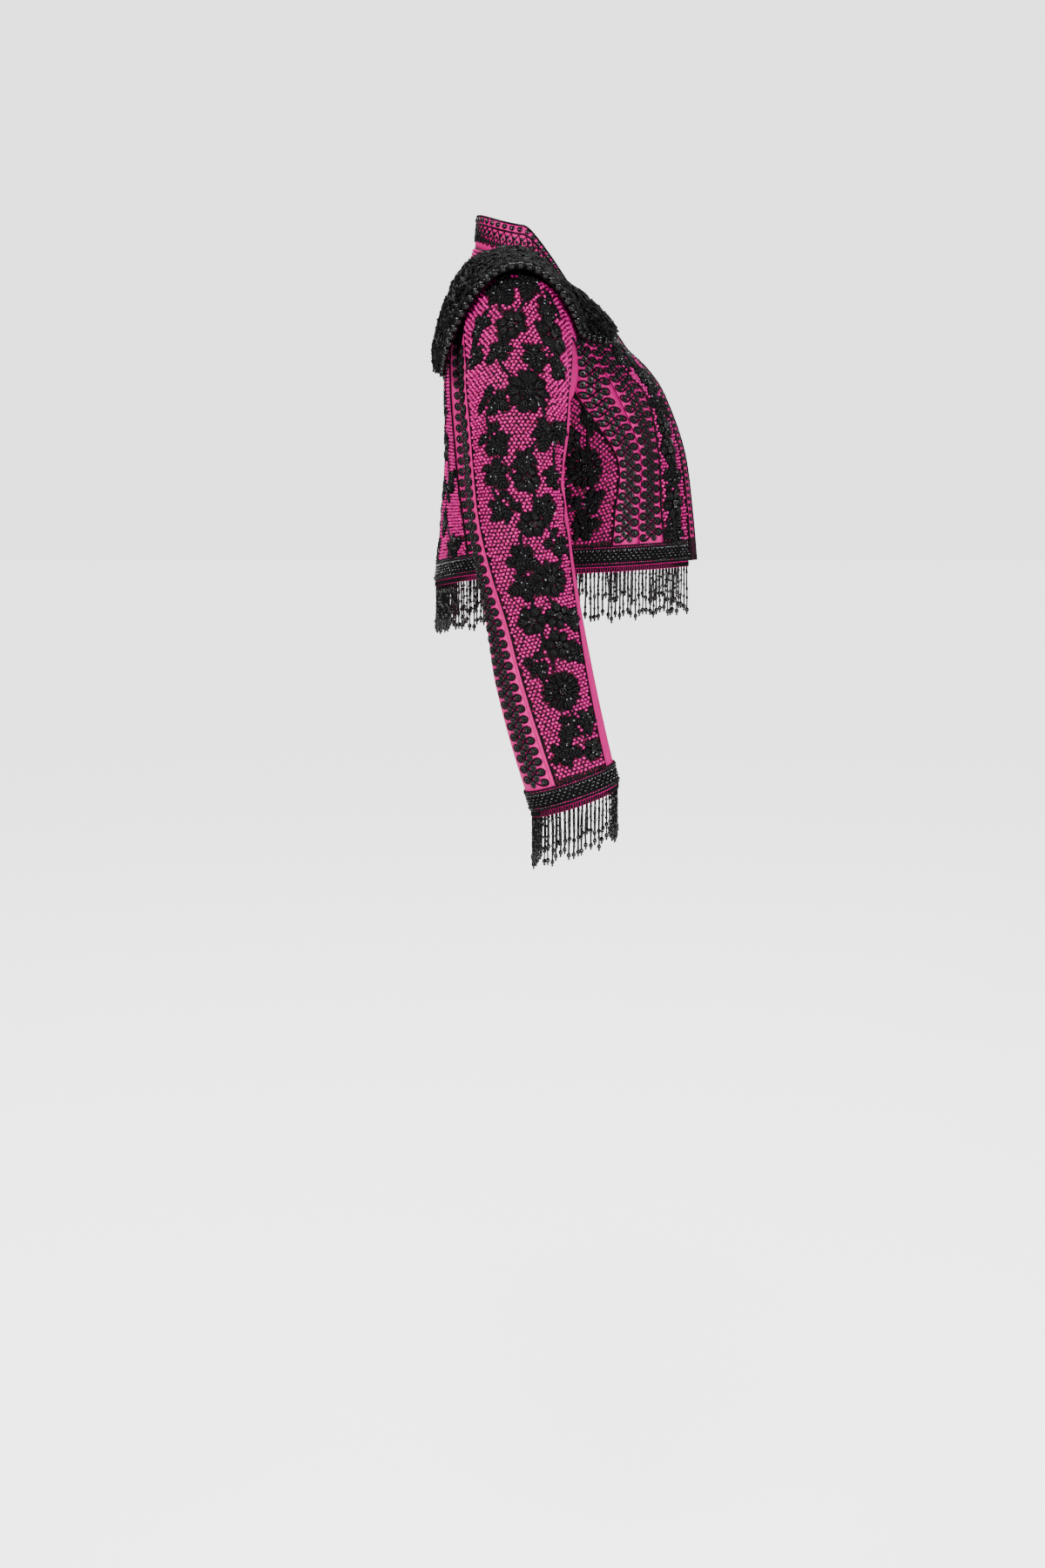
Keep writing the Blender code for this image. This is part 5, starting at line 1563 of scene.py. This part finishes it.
def dressFringe(strip, name, paired):
    # the tape with its stitches, and the strands with their beads
    stitches, strands, beads = Work(), Work(), Work()
    half, high, tuck = fringe["thickness"] / 2, fringe["tape"], fringe["tuck"]
    tape = sweepBand(strip, ((-half, -high), (half, -high), (half, tuck), (-half, tuck)))
    run = evenly(strip, fringe["stitch"])
    for side in (1, -1):
        ends = [strip.at(run, -high * part, side * (half + fringe["stitchUp"]))[0]
                for part in fringe["stitchEnds"]]
        outs = strip.at(run, 0.0, 0.0)[1] * side
        for index in range(len(run)):
            tube(stitches, [spot[index] for spot in ends], outs[[index, index]],
                 fringe["stitchCord"], sides=4)
    run = evenly(strip, fringe["pitch"])
    count = len(run)
    tops, outs = strip.at(run, 0.0005 - high, 0.0)
    ways = unit(strip.at(run + 0.001, 0.0005 - high, 0.0)[0] - tops)
    least, wave, uneven = fringe["shares"]
    reach = fringe["length"] * (least + wave * np.abs((np.arange(count) * 0.37) % 2 - 1)
                                + dice.uniform(-uneven, uneven, count))
    sway = dice.normal(0, fringe["away"], (count, 2))
    curl = dice.uniform(0, math.tau, count)
    down, every = -upward, np.arange(count)

    def strandAt(index, part):
        # points of the strands at a share of their length
        bend = sway[index, 0] * np.sin(2.4 * part) + fringe["curl"] * np.sin(7 * part + curl[index])
        away = sway[index, 1] * part ** 2
        return (tops[index] + down * (reach[index] * part)[..., None]
                + ways[index] * bend[..., None] + outs[index] * away[..., None])

    def hang(shape, part, sizes, drop=0.0):
        scatter(beads, shapes[shape], strandAt(every, part) + down * drop,
                np.tile(down, (count, 1)), outs, sizes)
    for index in every:
        tube(strands, strandAt(index, np.linspace(0, 1, 6)), np.tile(outs[index], (6, 1)),
             fringe["strand"], sides=4)
    first, width, apart = fringe["knots"]
    for knot in range(3):
        part = dice.uniform(first + apart * knot, width + apart * knot, count)
        knots = np.full(count, fringe["knot"])
        hang("seed", np.minimum(part, fringe["lowest"]),
             np.stack([knots, knots, dice.uniform(*fringe["knotHigh"], count)], -1))
    for shape, drop, sizes in fringe["ends"]:
        hang(shape, np.ones(count), sizes, drop)
    tapes = placed(name, paired, ("tape", "thread", tape), node=name)
    bits = placed(name, paired, ("stitches", "cord", stitches), ("strands", "strand", strands),
                  ("beads", "jet", beads))


bearings = np.linspace(-band["end"], band["end"], 157)
line = torsoPoint(0.0, bearings)
outs = normalAt(torsoPoint, 0.0, bearings, 1)
dressBand(Strip(line + outs * (cloth["wall"] / 2 + band["clearance"]), outs,
                unit(torsoPoint(0.3, bearings) - line), False), "hem_band", False)
upright = np.tile(upward, (len(bearings), 1))
dressFringe(Strip(line - upright * cloth["gap"], unit(outs * (1, 1, 0)), upright, False),
            "hem_fringe", False)

angles = np.linspace(0, 360, 96, endpoint=False)
line = sleevePoint(cuff, angles)
outs = normalAt(sleevePoint, cuff, angles, -1)
dressBand(Strip(line + outs * (cloth["wall"] / 2 + 1.2 * band["clearance"]), outs,
                unit(sleevePoint(cuff - 0.4, angles) - line), True), "cuff_band", True)
run = sleevePoint(cuff, angles + 1) - sleevePoint(cuff, angles - 1)
outs = unit(np.stack([-run[:, 1], run[:, 0], 0 * angles], -1))
outs *= np.sign(np.sum(outs * (line - sleevePoint(cuff, angles + 180)), 1))[:, None]
upright = np.tile(upward, (len(angles), 1))
dressFringe(Strip(line - upright * 2 * cloth["gap"], outs, upright, True), "cuff_fringe", True)
print("bands and fringe made")

# what each cloth says of its flat cut
for pieces, panel, held, onIt in sheets:
    (width, length), area = panel.cut()
    print(f"{pieces[0].name}: {width:.3f} x {length:.3f} m, {area:.4f} square metres")

faces = sum(len(face.vertices) - 2 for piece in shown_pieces() if piece.type == "MESH"
            for face in piece.data.polygons)
print("triangles:", faces)
